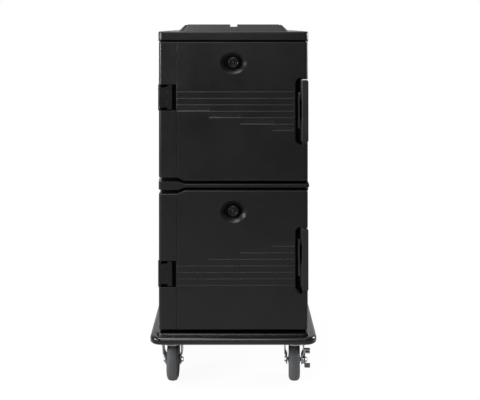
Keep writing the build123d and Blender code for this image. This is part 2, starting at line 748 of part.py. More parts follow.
def latch_bracket(door):
    """The bracket on the cart's right side, with an ear above and below the lever's barrel."""
    side = BODY_HALF_WIDTH
    inner = LATCH_KNUCKLE_HALF + SIDE_CLEAR
    outer = inner + LATCH_EAR
    start = BODY_FRONT + CORNER_RADIUS
    end = latch_screw_y() + 2 * SCREW_HEAD
    bracket = block(side, side + LATCH_PLATE, start, end, door.middle - outer, door.middle + outer)
    for sign in (-1, 1):
        low, high = sorted((door.middle + sign * inner, door.middle + sign * outer))
        bracket += block(side, LATCH_X, start, LATCH_Y + LATCH_BARREL, low, high)
        bracket += rod_z(LATCH_X, LATCH_Y, low, high, LATCH_BARREL)
    bracket -= rod_z(LATCH_X, LATCH_Y, door.middle - outer, door.middle + outer, LATCH_PIN)
    for y, z in latch_screw_places(door):
        bracket -= rod_x(y, z, side, side + LATCH_PLATE, SCREW_RADIUS)
    return bracket


def latch_screw_y():
    """How far back the latch bracket's screws are."""
    return LATCH_Y + LATCH_BARREL + 3 * SCREW_HEAD


def latch_screw_places(door):
    """The (y, z) centres of the latch bracket's screws."""
    return [(latch_screw_y(), door.middle + sign * LATCH_SCREW_STEP) for sign in (-1, 1)]


def latch_screws():
    """Screws that hold both latch brackets to the cart's right wall."""
    side = BODY_HALF_WIDTH
    face = side + LATCH_PLATE
    screws = []
    for door in DOORS:
        for y, z in latch_screw_places(door):
            head = rod_x(y, z, face, face + SCREW_HEAD_THICK, SCREW_HEAD)
            screws.append(head + rod_x(y, z, side, face, SCREW_RADIUS))
    return Compound(children=screws)


def latch_pins():
    """The two upright latch pins."""
    reach = LATCH_KNUCKLE_HALF + SIDE_CLEAR + LATCH_EAR
    pins = [rod_z(LATCH_X, LATCH_Y, d.middle - reach, d.middle + reach, LATCH_PIN) for d in DOORS]
    return Compound(children=pins)


def latch_keeper(door):
    """The strip in the door's finger pocket that the lever's grip snaps beside."""
    floor = DOOR_FRONT + LATCH_POCKET_DEPTH
    half = KEEPER_HEIGHT / 2
    right = KEEPER_LEFT + KEEPER_WIDTH
    keeper = block(KEEPER_LEFT, right, floor - KEEPER_REACH, floor, door.middle - half, door.middle + half)
    return fillet(keeper.edges().filter_by(Axis.Z).group_by(Axis.Y)[0], KEEPER_WIDTH / 3)


# Vents

def vent_sleeve(door):
    """The tube through the door that the vent plug slides in."""
    front = DOOR_FRONT + VENT_DISH_DEPTH
    back = DOOR_BACK + PLUG_DEPTH
    return rod_y(0, door.vent_z, front, back, VENT_SLEEVE) - rod_y(0, door.vent_z, front, back, VENT_BORE)


def vent_cap(door):
    """The vent plug: a ringed cap and a stem with a groove for its seal."""
    back = DOOR_FRONT + VENT_DISH_DEPTH - FACE_CLEAR
    front = back - VENT_CAP_THICK
    end = DOOR_BACK - VENT_STEM_SHORT
    cap = rod_y(0, door.vent_z, front, back, VENT_CAP)
    cap = chamfer(cap.edges().group_by(Axis.Y)[0], VENT_GROOVE)
    floor = front + VENT_GROOVE
    groove = rod_y(0, door.vent_z, front, floor, VENT_CAP_RING)
    cap -= groove - rod_y(0, door.vent_z, front, floor, VENT_CAP_BUTTON)
    cap += rod_y(0, door.vent_z, back, end, VENT_STEM)
    return cap - vent_ring(door, VENT_STEM)


def vent_ring(door, outer):
    """The ring of space from the groove's floor out to a radius."""
    y1 = DOOR_BACK - VENT_STEM
    y0 = y1 - VENT_SEAL_WIDTH
    return rod_y(0, door.vent_z, y0, y1, outer) - rod_y(0, door.vent_z, y0, y1, VENT_STEM - VENT_GROOVE)


def vent_seal(door):
    """The rubber ring on the vent plug."""
    return vent_ring(door, VENT_BORE - FACE_CLEAR)


# Casters

def turned(x, y, shape, side):
    """A front caster's piece turned on its swivel; only the right one is turned."""
    if side < 0:
        return shape
    return Pos(x, y, 0) * Rot(0, 0, -CASTER_TURN) * Pos(-x, -y, 0) * shape


def caster_plate(x, y):
    """A flat caster plate with four bolt holes."""
    outline = RectangleRounded(PLATE_WIDTH, PLATE_LENGTH, 2 * BOLT_RADIUS)
    plate = Pos(x, y, BASE_BOTTOM - PLATE_THICK) * extrude(outline, PLATE_THICK)
    for bx, by in bolt_places(x, y):
        plate -= rod_z(bx, by, BASE_BOTTOM - PLATE_THICK, BASE_BOTTOM, BOLT_RADIUS)
    return plate


def front_caster_plates():
    """The two swivel plates, each with a kingpin hole."""
    plates = []
    for x, y in caster_places()[:2]:
        low = BASE_BOTTOM - PLATE_THICK
        plates.append(caster_plate(x, y) - rod_z(x, y, low, BASE_BOTTOM, KINGPIN))
    return Compound(children=plates)


def caster_races():
    """The ball-race housings under the swivel plates."""
    rings = []
    for x, y in caster_places()[:2]:
        low = FORK_TOP + FACE_CLEAR
        high = BASE_BOTTOM - PLATE_THICK
        ring = chamfer(rod_z(x, y, low, high, FORK_HEAD).edges().group_by(Axis.Z)[0], RACE_HEIGHT / 3)
        rings.append(ring - rod_z(x, y, low, high, KINGPIN))
    return Compound(children=rings)


def kingpins():
    """The swivel bolts, headed below the fork."""
    pins = []
    for x, y in caster_places()[:2]:
        under = FORK_TOP - FORK_THICK - FACE_CLEAR
        pin = rod_z(x, y, under, BASE_BOTTOM, KINGPIN)
        pins.append(pin + rod_z(x, y, under - FORK_THICK, under, KINGPIN_HEAD))
    return Compound(children=pins)


def fork_half():
    """Half of the space between a fork's legs."""
    return HUB_WIDTH / 2 + FORK_CLEAR


def fork_legs(x, y, top, front, back, axle_y):
    """Two tapered legs, splayed above the axle and close to the hub beside it."""
    z = WHEEL_RADIUS
    foot = FORK_FOOT
    toe = FORK_FOOT / 2
    side_view = [(y + front, top), (y + back, top), (axle_y + foot, z), (axle_y + toe, z - foot),
                 (axle_y - toe, z - foot), (axle_y - foot, z)]
    near = fork_half()
    wide = near + FORK_SPLAY
    neck = z + FORK_NECK
    shoulder = z + FORK_SHOULDER
    inside = [(near, z - foot), (near, neck), (wide, shoulder), (wide, top)]
    outside = [(reach + FORK_THICK, height) for reach, height in reversed(inside)]
    far = wide + FORK_THICK
    outline = side_profile(side_view, x - far, x + far)
    legs = []
    for side in (-1, 1):
        front_view = [(x + side * reach, height) for reach, height in inside + outside]
        legs.append(front_profile(front_view, y - PLATE_LENGTH, y + PLATE_LENGTH) & outline)
    return legs[0] + legs[1]


def swivel_fork(x, y, side):
    """A swivel fork, drilled for the kingpin and the axle."""
    axle_y = y + CASTER_TRAIL
    outer = fork_half() + FORK_SPLAY + FORK_THICK
    front = y - FORK_LEG_FRONT
    back = y + FORK_LEG_BACK
    fork = fork_legs(x, y, FORK_TOP, -FORK_LEG_FRONT, FORK_LEG_BACK, axle_y)
    fork += block(x - outer, x + outer, front, back, FORK_TOP - FORK_THICK, FORK_TOP)
    fork += rod_z(x, y, FORK_TOP - FORK_THICK, FORK_TOP, FORK_HEAD)
    fork -= rod_z(x, y, FORK_TOP - FORK_THICK, FORK_TOP, KINGPIN + RUN_CLEAR)
    fork -= rod_x(axle_y, WHEEL_RADIUS, x - outer, x + outer, AXLE)
    return turned(x, y, fork, side)


def rigid_fork(x, y):
    """A rear caster's plate and legs in one piece."""
    outer = fork_half() + FORK_THICK
    fork = caster_plate(x, y) + fork_legs(x, y, BASE_BOTTOM - PLATE_THICK, -RIGID_LEG, RIGID_LEG, y)
    return fork - rod_x(y, WHEEL_RADIUS, x - outer, x + outer, AXLE)


def axle_bolt(x, axle_y, washer):
    """An axle bolt with its nut, long enough for a washer or lever under the nut."""
    outer = fork_half() + FORK_THICK
    z = WHEEL_RADIUS
    nut = x + outer + washer
    axle = rod_x(axle_y, z, x - outer, nut + AXLE_HEAD_THICK + AXLE_END, AXLE)
    axle += hex_x(axle_y, z, x - outer - AXLE_HEAD_THICK, x - outer, AXLE_HEAD)
    return axle + hex_x(axle_y, z, nut, nut + AXLE_HEAD_THICK, AXLE_HEAD)


def wheel_tyre(x, axle_y):
    """A wheel's rubber tyre, rounded at its shoulders."""
    half = TYRE_WIDTH / 2
    tyre = rod_x(axle_y, WHEEL_RADIUS, x - half, x + half, WHEEL_RADIUS)
    tyre = fillet(tyre.edges().filter_by(GeomType.CIRCLE), TYRE_SHOULDER)
    return tyre - rod_x(axle_y, WHEEL_RADIUS, x - half, x + half, TYRE_INNER)


def wheel_hub(x, axle_y):
    """A wheel's hub: rim, web and a bored boss."""
    rim = TYRE_WIDTH / 2 - HUB_RIM_INSET
    hollow = TYRE_INNER - HUB_RIM
    web = HUB_WEB / 2
    boss = HUB_WIDTH / 2
    z = WHEEL_RADIUS
    hub = rod_x(axle_y, z, x - rim, x + rim, TYRE_INNER) - rod_x(axle_y, z, x - rim, x + rim, hollow)
    hub += rod_x(axle_y, z, x - web, x + web, hollow + HUB_RIM / 2)
    hub += rod_x(axle_y, z, x - boss, x + boss, HUB_BOSS)
    return hub - rod_x(axle_y, z, x - boss, x + boss, AXLE + RUN_CLEAR)


def brake_arm(axle_y, tab, near, far):
    """A flat arm of the brake lever from the axle to a tab, given as its (y, z) offset."""
    dy, dz = tab
    z = WHEEL_RADIUS
    angle = math.atan2(dz, dy)
    across = -BRAKE_ARM_HALF * math.sin(angle)
    along = BRAKE_ARM_HALF * math.cos(angle)
    shape = [(axle_y + across, z + along), (axle_y + dy + across, z + dz + along),
             (axle_y + dy - across, z + dz - along), (axle_y - across, z - along)]
    return side_profile(shape, near, far)


def brake_lever(x, y):
    """The side brake lever on the axle, with a bent release tab above and a foot pad in front."""
    axle_y = y + CASTER_TRAIL
    z = WHEEL_RADIUS
    seat = x + fork_half() + FORK_THICK + FACE_CLEAR
    near = seat + FORK_SPLAY
    far = near + BRAKE_THICK
    end = far + BRAKE_REACH
    lever = rod_x(axle_y, z, seat, far, BRAKE_BOSS)
    for tab in (BRAKE_UPPER, BRAKE_LOWER):
        lever += brake_arm(axle_y, tab, near, far)
    half = BRAKE_TAB_HALF
    front = axle_y + BRAKE_UPPER[0] - BRAKE_ARM_HALF
    back = axle_y + BRAKE_UPPER[0] + BRAKE_ARM_HALF
    middle = z + BRAKE_UPPER[1]
    lever += block(near, end, front, back, middle - half, middle + half)
    half -= BRAKE_THICK
    lever -= block(far, end - BRAKE_THICK, front, back, middle - half, middle + half)
    front = axle_y + BRAKE_LOWER[0] - BRAKE_THICK
    middle = z + BRAKE_LOWER[1]
    half = BRAKE_TAB_HALF
    lever += block(near, end, front, front + BRAKE_THICK, middle - half, middle + half)
    return lever - rod_x(axle_y, z, seat, far, AXLE + FACE_CLEAR)


def caster_bolts():
    """The sixteen bolts that hold the caster plates to the base."""
    bolts = []
    under = BASE_BOTTOM - PLATE_THICK
    for x, y in caster_places():
        for bx, by in bolt_places(x, y):
            hexagon = extrude(RegularPolygon(BOLT_HEAD, 6), BOLT_HEAD_THICK)
            head = Pos(bx, by, under - BOLT_HEAD_THICK) * hexagon
            bolts.append(head + rod_z(bx, by, under, BASE_BOTTOM + BOLT_DEPTH, BOLT_RADIUS))
    return Compound(children=bolts)


def save_cabinet():
    """Write the fixed cabinet's nodes."""
    save("base_moulding", base_moulding())
    save("body_shell", body_shell())
    save("top_cover", top_cover())
    save("foam_core", foam_core())
    save("hinge_pins", hinge_pins())
    save("hinge_body_screws", hinge_body_screws())
    save("latch_pins", latch_pins())
    save("latch_screws", latch_screws())


def save_compartment(door):
    """Write the nodes of one compartment, its door and the door's fittings."""
    pieces = {
        "liner": liner,
        "pan_rails": pan_rails,
        "door_shell": door_shell,
        "door_panel": door_panel,
        "door_foam": door_foam,
        "door_gasket": door_gasket,
        "hinge_door_leaf": hinge_door_leaf,
        "hinge_door_screws": hinge_door_screws,
        "hinge_body_leaf": hinge_body_leaf,
        "latch_lever": latch_lever,
        "latch_bracket": latch_bracket,
        "latch_keeper": latch_keeper,
        "vent_sleeve": vent_sleeve,
        "vent_cap": vent_cap,
        "vent_seal": vent_seal,
    }
    for name, make in pieces.items():
        save(f"{door.name}_{name}", make(door))


def save_casters():
    """Write the casters' nodes; the front right one carries the brake."""
    brake_washer = FORK_SPLAY + BRAKE_THICK + 2 * FACE_CLEAR
    save("front_caster_plates", front_caster_plates())
    save("caster_races", caster_races())
    save("kingpins", kingpins())
    save("caster_bolts", caster_bolts())
    for name, side in (("left", -1), ("right", 1)):
        x = side * CASTER_X
        y = FRONT_CASTER_Y
        axle_y = y + CASTER_TRAIL
        washer = brake_washer if side > 0 else 0
        save(f"front_{name}_fork", swivel_fork(x, y, side))
        save(f"front_{name}_axle", turned(x, y, axle_bolt(x, axle_y, washer), side))
        save(f"front_{name}_tyre", turned(x, y, wheel_tyre(x, axle_y), side))
        save(f"front_{name}_hub", turned(x, y, wheel_hub(x, axle_y), side))
        save(f"rear_{name}_fork", rigid_fork(x, REAR_CASTER_Y))
        save(f"rear_{name}_tyre", wheel_tyre(x, REAR_CASTER_Y))
        save(f"rear_{name}_hub", wheel_hub(x, REAR_CASTER_Y))
    save("brake_lever", turned(CASTER_X, FRONT_CASTER_Y, brake_lever(CASTER_X, FRONT_CASTER_Y), 1))
    rear_axles = [axle_bolt(side * CASTER_X, REAR_CASTER_Y, 0) for side in (-1, 1)]
    save("rear_axles", Compound(children=rear_axles))


def main():
    """Build and write every node."""
    os.makedirs("parts", exist_ok=True)
    save_cabinet()
    for door in DOORS:
        save_compartment(door)
    save_casters()


main()
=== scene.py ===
"""Insulated food cart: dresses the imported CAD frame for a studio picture.

Two foam-filled compartments stand on a bumper base with casters. The CAD nodes keep their shapes. Rounded or more
finely cut copies and new pieces stand in for some of them, each surface gets its finish, and a studio and a camera
are set around the cart. Lengths are in metres in the frame of the CAD, with the doors facing -Y; a profile that is
given in millimetres says so.
"""

import json
import logging
import math
from collections.abc import Sequence
from dataclasses import dataclass, field
from enum import Enum

import bmesh
import bpy
from mathutils import Matrix, Vector

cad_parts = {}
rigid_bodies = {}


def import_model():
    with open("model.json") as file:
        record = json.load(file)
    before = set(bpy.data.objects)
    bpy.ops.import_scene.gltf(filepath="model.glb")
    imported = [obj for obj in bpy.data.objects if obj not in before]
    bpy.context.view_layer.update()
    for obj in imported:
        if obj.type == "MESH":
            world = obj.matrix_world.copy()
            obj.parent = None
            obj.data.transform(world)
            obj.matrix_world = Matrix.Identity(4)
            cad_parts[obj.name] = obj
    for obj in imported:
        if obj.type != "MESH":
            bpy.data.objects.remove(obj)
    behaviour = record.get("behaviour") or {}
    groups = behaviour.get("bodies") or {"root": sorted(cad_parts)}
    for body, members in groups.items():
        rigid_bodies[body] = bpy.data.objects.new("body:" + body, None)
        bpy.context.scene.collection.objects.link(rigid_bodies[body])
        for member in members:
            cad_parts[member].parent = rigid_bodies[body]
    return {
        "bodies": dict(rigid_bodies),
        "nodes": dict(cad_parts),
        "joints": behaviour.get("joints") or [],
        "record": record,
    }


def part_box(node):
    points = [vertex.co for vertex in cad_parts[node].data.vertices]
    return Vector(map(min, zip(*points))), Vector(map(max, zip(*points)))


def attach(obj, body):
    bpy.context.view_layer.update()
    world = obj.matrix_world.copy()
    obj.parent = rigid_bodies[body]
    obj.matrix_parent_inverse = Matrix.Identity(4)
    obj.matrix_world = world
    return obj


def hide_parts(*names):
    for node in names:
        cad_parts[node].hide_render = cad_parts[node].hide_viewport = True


LOG = logging.getLogger("food_cart")
MM = 0.001
# Points nearer than this are one point
MERGE = 1e-6
# How far a point of a CAD mesh may lie from where it is looked for
NEAR = 0.2 * MM
QUARTER_TURN = math.radians(90)
# Edges that bend by more than this are drawn sharp
SHARP_ANGLE = math.radians(32)
# Triangles that bend by less than this are joined into one face
FLAT_ANGLE = math.radians(0.5)
# The same for a node whose edges are rounded over, and how far an edge bends to be one of them
SOFT_FLAT_ANGLE = math.radians(1)
SOFT_EDGE_ANGLE = math.radians(40)
# A colour mix's two inputs and its output, by their place among the node's sockets
MIX_A, MIX_B, MIX_OUT = 6, 7, 2


class Level(Enum):
    """The two stacked compartments."""

    UPPER = "upper"
    LOWER = "lower"


class Wheel(Enum):
    """The four caster places."""

    FRONT_LEFT = "front_left"
    FRONT_RIGHT = "front_right"
    REAR_LEFT = "rear_left"
    REAR_RIGHT = "rear_right"


class Facing(Enum):
    """The way that a screw head faces, as its turn about Z from +X in degrees."""

    RIGHT = 0
    FRONT = -90
    LEFT = 180


def linear(hex_colour: str) -> tuple[float, float, float, float]:
    """Turn an sRGB hex colour into linear light.

    Args:
        hex_colour: A colour such as "#1c1c1c".

    Returns:
        Linear red, green, blue and an alpha of one.
    """
    channels = [int(hex_colour[i:i + 2], 16) / 255 for i in (1, 3, 5)]
    lit = [c / 12.92 if c <= 0.04045 else ((c + 0.055) / 1.055) ** 2.4 for c in channels]
    return (lit[0], lit[1], lit[2], 1.0)


def add_node(tree: bpy.types.NodeTree, kind: str, links: dict | None = None, **settings) -> bpy.types.Node:
    """Add one shader node.

    Args:
        tree: The node tree to add to.
        kind: Blender's node type name.
        links: Input socket name or index to the output socket that feeds it, or to a plain value.
        settings: Attributes to set on the node.

    Returns:
        The new node.
    """
    node = tree.nodes.new(kind)
    for name, value in settings.items():
        setattr(node, name, value)
    for socket, source in (links or {}).items():
        if isinstance(source, bpy.types.NodeSocket):
            tree.links.new(source, node.inputs[socket])
        else:
            node.inputs[socket].default_value = source
    return node


@dataclass(frozen=True)
class Finish:
    """A moulded or metal surface with a mottled tone, scuffs, worn edges, uneven gloss and a fine relief.

    Attributes:
        name: The material's name.
        colour: The main sRGB colour.
        mottle: The sRGB colour that the mottling leans to.
        worn: The sRGB colour of worn edges and scuffs.
        roughness: The lowest and highest roughness.
        metallic: Zero for plastic and rubber, one for metal.
        specular: The shader's specular level.
        mottle_mm: The size of the tone's patches.
        relief_mm: The spacing of the surface relief.
        relief_depth_mm: The height of the relief.
        scuff_mm: The length of the fine scuffs.
        scuffed: How strongly the scuffs show.
        scuff_drawn: How the scuffs are drawn out along X, Y and Z.
        edge_mm: How far the eye sees the edges rounded.
        edge_wear: How strongly the worn edges show.
        gloss_band: Where the mottling's noise gives the lowest and the highest roughness.
        scuff_band: Where the scuffs' noise starts to show and where it shows in full.
        edge_band: How well the soft and the true normal agree where wear starts and where it is full.
    """

    name: str
    colour: str
    mottle: str
    worn: str
    roughness: tuple[float, float]
    metallic: float = 0.0
    specular: float = 0.5
    mottle_mm: float = 60.0
    relief_mm: float = 3.0
    relief_depth_mm: float = 0.05
    scuff_mm: float = 40.0
    scuffed: float = 0.25
    scuff_drawn: tuple[float, float, float] = (1.0, 1.0, 14.0)
    edge_mm: float = 1.2
    edge_wear: float = 0.35
    gloss_band: tuple[float, float] = (0.3, 0.7)
    scuff_band: tuple[float, float] = (0.6, 0.8)
    edge_band: tuple[float, float] = (0.995, 0.8)

    def tone(self, tree: bpy.types.NodeTree, place: bpy.types.NodeSocket, patches: bpy.types.NodeSocket,
             soft: bpy.types.NodeSocket) -> bpy.types.NodeSocket:
        """Colour the surface: mottling, then scuffs, then worn edges.

        Args:
            tree: The material's node tree.
            place: Object coordinates.
            patches: The mottling's noise.
            soft: The normal as seen over rounded edges.

        Returns:
            The colour socket.
        """
        worn = linear(self.worn)
        base = add_node(tree, "ShaderNodeMix", {
            "Factor": patches, MIX_A: linear(self.colour), MIX_B: linear(self.mottle)}, data_type="RGBA")
        drawn = add_node(tree, "ShaderNodeMapping", {"Vector": place, "Scale": self.scuff_drawn})
        lines = add_node(tree, "ShaderNodeTexNoise", {
            "Vector": drawn.outputs["Vector"], "Scale": 1 / (self.scuff_mm * MM), "Detail": 5.0, "Roughness": 0.65})
        scuffs = add_node(tree, "ShaderNodeMapRange", {
            "Value": lines.outputs["Fac"], "From Min": self.scuff_band[0], "From Max": self.scuff_band[1],
            "To Max": self.scuffed})
        scuffed = add_node(tree, "ShaderNodeMix", {
            "Factor": scuffs.outputs["Result"], MIX_A: base.outputs[MIX_OUT], MIX_B: worn}, data_type="RGBA")
        flat = add_node(tree, "ShaderNodeNewGeometry").outputs["True Normal"]
        match = add_node(tree, "ShaderNodeVectorMath", {0: flat, 1: soft}, operation="DOT_PRODUCT")
        edge = add_node(tree, "ShaderNodeMapRange", {
            "Value": match.outputs["Value"], "From Min": self.edge_band[0], "From Max": self.edge_band[1],
            "To Max": self.edge_wear})
        rubbed = add_node(tree, "ShaderNodeMath", {0: edge.outputs["Result"], 1: patches}, operation="MULTIPLY")
        return add_node(tree, "ShaderNodeMix", {
            "Factor": rubbed.outputs["Value"], MIX_A: scuffed.outputs[MIX_OUT], MIX_B: worn},
            data_type="RGBA").outputs[MIX_OUT]

    def material(self) -> bpy.types.Material:
        """Make the material, or return it where it is already made.

        Returns:
            The finish as a procedural material on Object coordinates.
        """
        made = bpy.data.materials.get(self.name)
        if made:
            return made
        material = bpy.data.materials.new(self.name)
        material.use_nodes = True
        tree = material.node_tree
        tree.nodes.clear()
        place = add_node(tree, "ShaderNodeTexCoord").outputs["Object"]
        patches = add_node(tree, "ShaderNodeTexNoise", {
            "Vector": place, "Scale": 1 / (self.mottle_mm * MM), "Detail": 4.0, "Roughness": 0.6}).outputs["Fac"]
        soft = add_node(tree, "ShaderNodeBevel", {"Radius": self.edge_mm * MM}, samples=4).outputs["Normal"]
        gloss = add_node(tree, "ShaderNodeMapRange", {
            "Value": patches, "From Min": self.gloss_band[0], "From Max": self.gloss_band[1],
            "To Min": self.roughness[0], "To Max": self.roughness[1]})
        grain = add_node(tree, "ShaderNodeTexNoise", {
            "Vector": place, "Scale": 1 / (self.relief_mm * MM), "Detail": 2.0})
        bump = add_node(tree, "ShaderNodeBump", {
            "Height": grain.outputs["Fac"], "Strength": 1.0, "Distance": self.relief_depth_mm * MM, "Normal": soft})
        colour = self.tone(tree, place, patches, soft)
        shader = add_node(tree, "ShaderNodeBsdfPrincipled", {
            "Base Color": colour, "Roughness": gloss.outputs["Result"], "Normal": bump.outputs["Normal"],
            "Metallic": self.metallic, "Specular IOR Level": self.specular})
        add_node(tree, "ShaderNodeOutputMaterial", {"Surface": shader.outputs["BSDF"]})
        return material


# Rotomoulded polyethylene: satin black with a soft orange-peel skin from the oven mould and pale rub marks
SHELL = Finish("rotomoulded_black_polyethylene", "#0f0f0f", "#141414", "#484848", (0.27, 0.36), specular=0.21,
               mottle_mm=90.0, relief_mm=5.0, relief_depth_mm=0.06, scuffed=0.08, edge_mm=2.0)
# The base's bumper: the same plastic, smoother and glossier from a polished part of the mould and from rubbing
# along walls; its colour is darker than the shell's, as painted shade
SHADED_BUMPER = Finish("polished_polyethylene_painted_shade", "#050505", "#080808", "#484848", (0.14, 0.2), specular=0.36,
                mottle_mm=90.0, relief_mm=5.0, relief_depth_mm=0.06, scuffed=0.08, edge_mm=2.0)
# The doors' plastic deep in the pockets and the vent's dish: painted near-black as painted shade in these recesses,
# and dull
POCKET_SHADE = Finish("pocket_painted_shade", "#050505", "#070707", "#0b0b0b", (0.55, 0.65), specular=0.02,
                mottle_mm=90.0, relief_mm=5.0, relief_depth_mm=0.06, scuffed=0.05, edge_wear=0.1)
# The same plastic inside the compartments, duller from washing and rubbed by the pans
LINER = Finish("rotomoulded_black_liner", "#1a1a1a", "#222222", "#505050", (0.50, 0.62), specular=0.3,
               relief_mm=5.0, scuffed=0.3, scuff_drawn=(12.0, 1.0, 12.0))
# Injection-moulded nylon: denser black and finely spark-textured
NYLON = Finish("moulded_black_nylon", "#0f0f0f", "#141414", "#454545", (0.26, 0.34), specular=0.14, relief_mm=1.2,
               relief_depth_mm=0.03, scuffed=0.15, edge_mm=0.8, edge_wear=0.4)
# The vent's sleeve, deep in its dish: the same nylon, painted darker as painted shade, and dull
SHADED_SLEEVE = Finish("sleeve_painted_shade_nylon", "#080808", "#0b0b0b", "#1c1c1c", (0.5, 0.6), specular=0.05, relief_mm=1.2,
                relief_depth_mm=0.03, scuffed=0.1, edge_mm=0.8, edge_wear=0.2)
# The vent's pull cap, polished by fingers along its rings
CAP = Finish("polished_black_nylon", "#0a0a0a", "#0e0e0e", "#505050", (0.22, 0.30), specular=0.2, relief_mm=1.2,
             relief_depth_mm=0.02, scuffed=0.1, edge_mm=0.8, edge_wear=0.6)
# Glass-filled nylon of the latch levers: a greyer black, polished by hands
LEVER = Finish("glass_filled_nylon", "#171717", "#1c1c1c", "#4a4a4a", (0.32, 0.40), specular=0.25, relief_mm=1.0,
               relief_depth_mm=0.03, scuffed=0.2, edge_mm=0.8, edge_wear=0.4)
# The keeper's strip: dark grey, lighter than the black fittings, a painted highlight that makes it look lit in the
# lever's shade; polished where the lever rubs
LIT_KEEPER = Finish("keeper_painted_highlight_grey", "#2c2c2c", "#343434", "#555555", (0.30, 0.40), specular=0.4, relief_mm=1.2,
                relief_depth_mm=0.02, edge_mm=0.8, edge_wear=0.4)
# Bright zinc-plated steel: pale, slightly streaked by the plating and darker along handled edges
ZINC = Finish("bright_zinc_plated_steel", "#7b7e82", "#66696d", "#55585b", (0.16, 0.28), metallic=1.0,
              mottle_mm=14.0, relief_mm=2.0, relief_depth_mm=0.01, scuff_mm=12.0, scuffed=0.35, edge_mm=0.5)
# Stainless screws: turned heads
SCREW = Finish("turned_stainless_steel", "#a9abad", "#8f9194", "#c4c6c8", (0.25, 0.35), metallic=1.0,
               mottle_mm=4.0, relief_mm=0.8, relief_depth_mm=0.01, scuff_mm=4.0, edge_mm=0.2)
# Black-oxide screws in the black hinge leaves
DARK_SCREW = Finish("black_oxide_steel", "#121213", "#1a1a1b", "#484849", (0.45, 0.55), specular=0.15,
                    mottle_mm=4.0, relief_mm=0.8, relief_depth_mm=0.01, scuff_mm=4.0, edge_mm=0.2)
# Thermoplastic rubber tread: dark grey, dusty where it rolls
TYRE = Finish("grey_thermoplastic_rubber", "#37383a", "#434446", "#6c6a65", (0.62, 0.8), specular=0.3,
              mottle_mm=18.0, relief_mm=1.5, relief_depth_mm=0.08, scuff_mm=9.0, scuffed=0.4,
              scuff_drawn=(1.0, 1.0, 1.0), edge_mm=0.6)
# Polypropylene wheel centre: mid grey with faint flow marks
HUB = Finish("moulded_grey_polypropylene", "#45474a", "#525457", "#7c7d7f", (0.42, 0.52), mottle_mm=25.0,
             relief_mm=1.5, relief_depth_mm=0.04, scuff_mm=10.0, edge_mm=0.6)
# Extruded silicone seals: dull black with a wiped sheen
SEAL = Finish("extruded_black_silicone", "#191919", "#232323", "#4c4c4c", (0.55, 0.68), mottle_mm=30.0,
              relief_mm=0.8, relief_depth_mm=0.02, scuff_mm=10.0, edge_mm=0.5)
# Poured polyurethane foam, seen only if a skin is taken off: fine open cells
FOAM = Finish("poured_polyurethane_foam", "#d9c88f", "#c9b477", "#e8dcb4", (0.85, 0.95), mottle_mm=20.0,
              relief_mm=2.0, relief_depth_mm=0.4, scuff_mm=6.0, scuff_drawn=(1.0, 1.0, 1.0))


def round_over(mesh: bmesh.types.BMesh, geom: list, radius: float, segments: int = 2,
               corners: bool = False) -> list[bmesh.types.BMFace]:
    """Round over edges or corners.

    Args:
        mesh: The bmesh to change.
        geom: The edges, or the corners' vertices.
        radius: The rounding's width.
        segments: The steps of the rounding.
        corners: Whether corners are rounded and not edges.

    Returns:
        The faces of the rounding.
    """
    return bmesh.ops.bevel(mesh, geom=geom, offset=radius, offset_type="OFFSET", segments=segments, profile=0.5,
                           affect="VERTICES" if corners else "EDGES", clamp_overlap=True, material=-1)["faces"]


def cut_across(mesh: bmesh.types.BMesh, x: float) -> None:
    """Cut the faces of a mesh at a place along X and leave both sides joined."""
    bmesh.ops.bisect_plane(mesh, geom=[*mesh.verts, *mesh.edges, *mesh.faces], plane_co=(x, 0, 0),
                           plane_no=(1, 0, 0), dist=MERGE)


def spin_profile(mesh: bmesh.types.BMesh, profile: list[tuple[float, float]], steps: int,
                 closed: bool = True) -> list[bmesh.types.BMVert]:
    """Spin a profile into a round shape about X.

    Args:
        mesh: The bmesh to add to.
        profile: (x, radius) points of the outline.
        steps: How many steps the turn takes.
        closed: Whether the outline joins up; an open one starts and ends on the axis.

    Returns:
        The new vertices.
    """
    before = set(mesh.verts)
    verts = [mesh.verts.new((x, 0.0, radius)) for x, radius in profile]
    first = 0 if closed else 1
    edges = [mesh.edges.new((verts[i - 1], verts[i])) for i in range(first, len(verts))]
    bmesh.ops.spin(mesh, geom=verts + edges, cent=(0, 0, 0), axis=(1, 0, 0), angle=math.tau, steps=steps,
                   use_merge=True)
    bmesh.ops.remove_doubles(mesh, verts=[v for v in mesh.verts if v not in before], dist=MERGE)
    return [v for v in mesh.verts if v not in before]


def rounded_box(mesh: bmesh.types.BMesh, low: Sequence[float], high: Sequence[float], radius: float,
                place: Matrix | None = None) -> None:
    """Add a box with rounded edges.

    Args:
        mesh: The bmesh to add to.
        low: Its lowest corner.
        high: Its highest corner.
        radius: The rounding of its edges.
        place: A further placing of the whole box.
    """
    low, high = Vector(low), Vector(high)
    matrix = Matrix.Translation((low + high) / 2) @ Matrix.Diagonal((*(high - low), 1.0))
    verts = bmesh.ops.create_cube(mesh, size=1.0, matrix=matrix)["verts"]
    faces = round_over(mesh, list({edge for vert in verts for edge in vert.link_edges}), radius)
    if place is not None:
        bmesh.ops.transform(mesh, matrix=place, verts=list({vert for face in faces for vert in face.verts}))


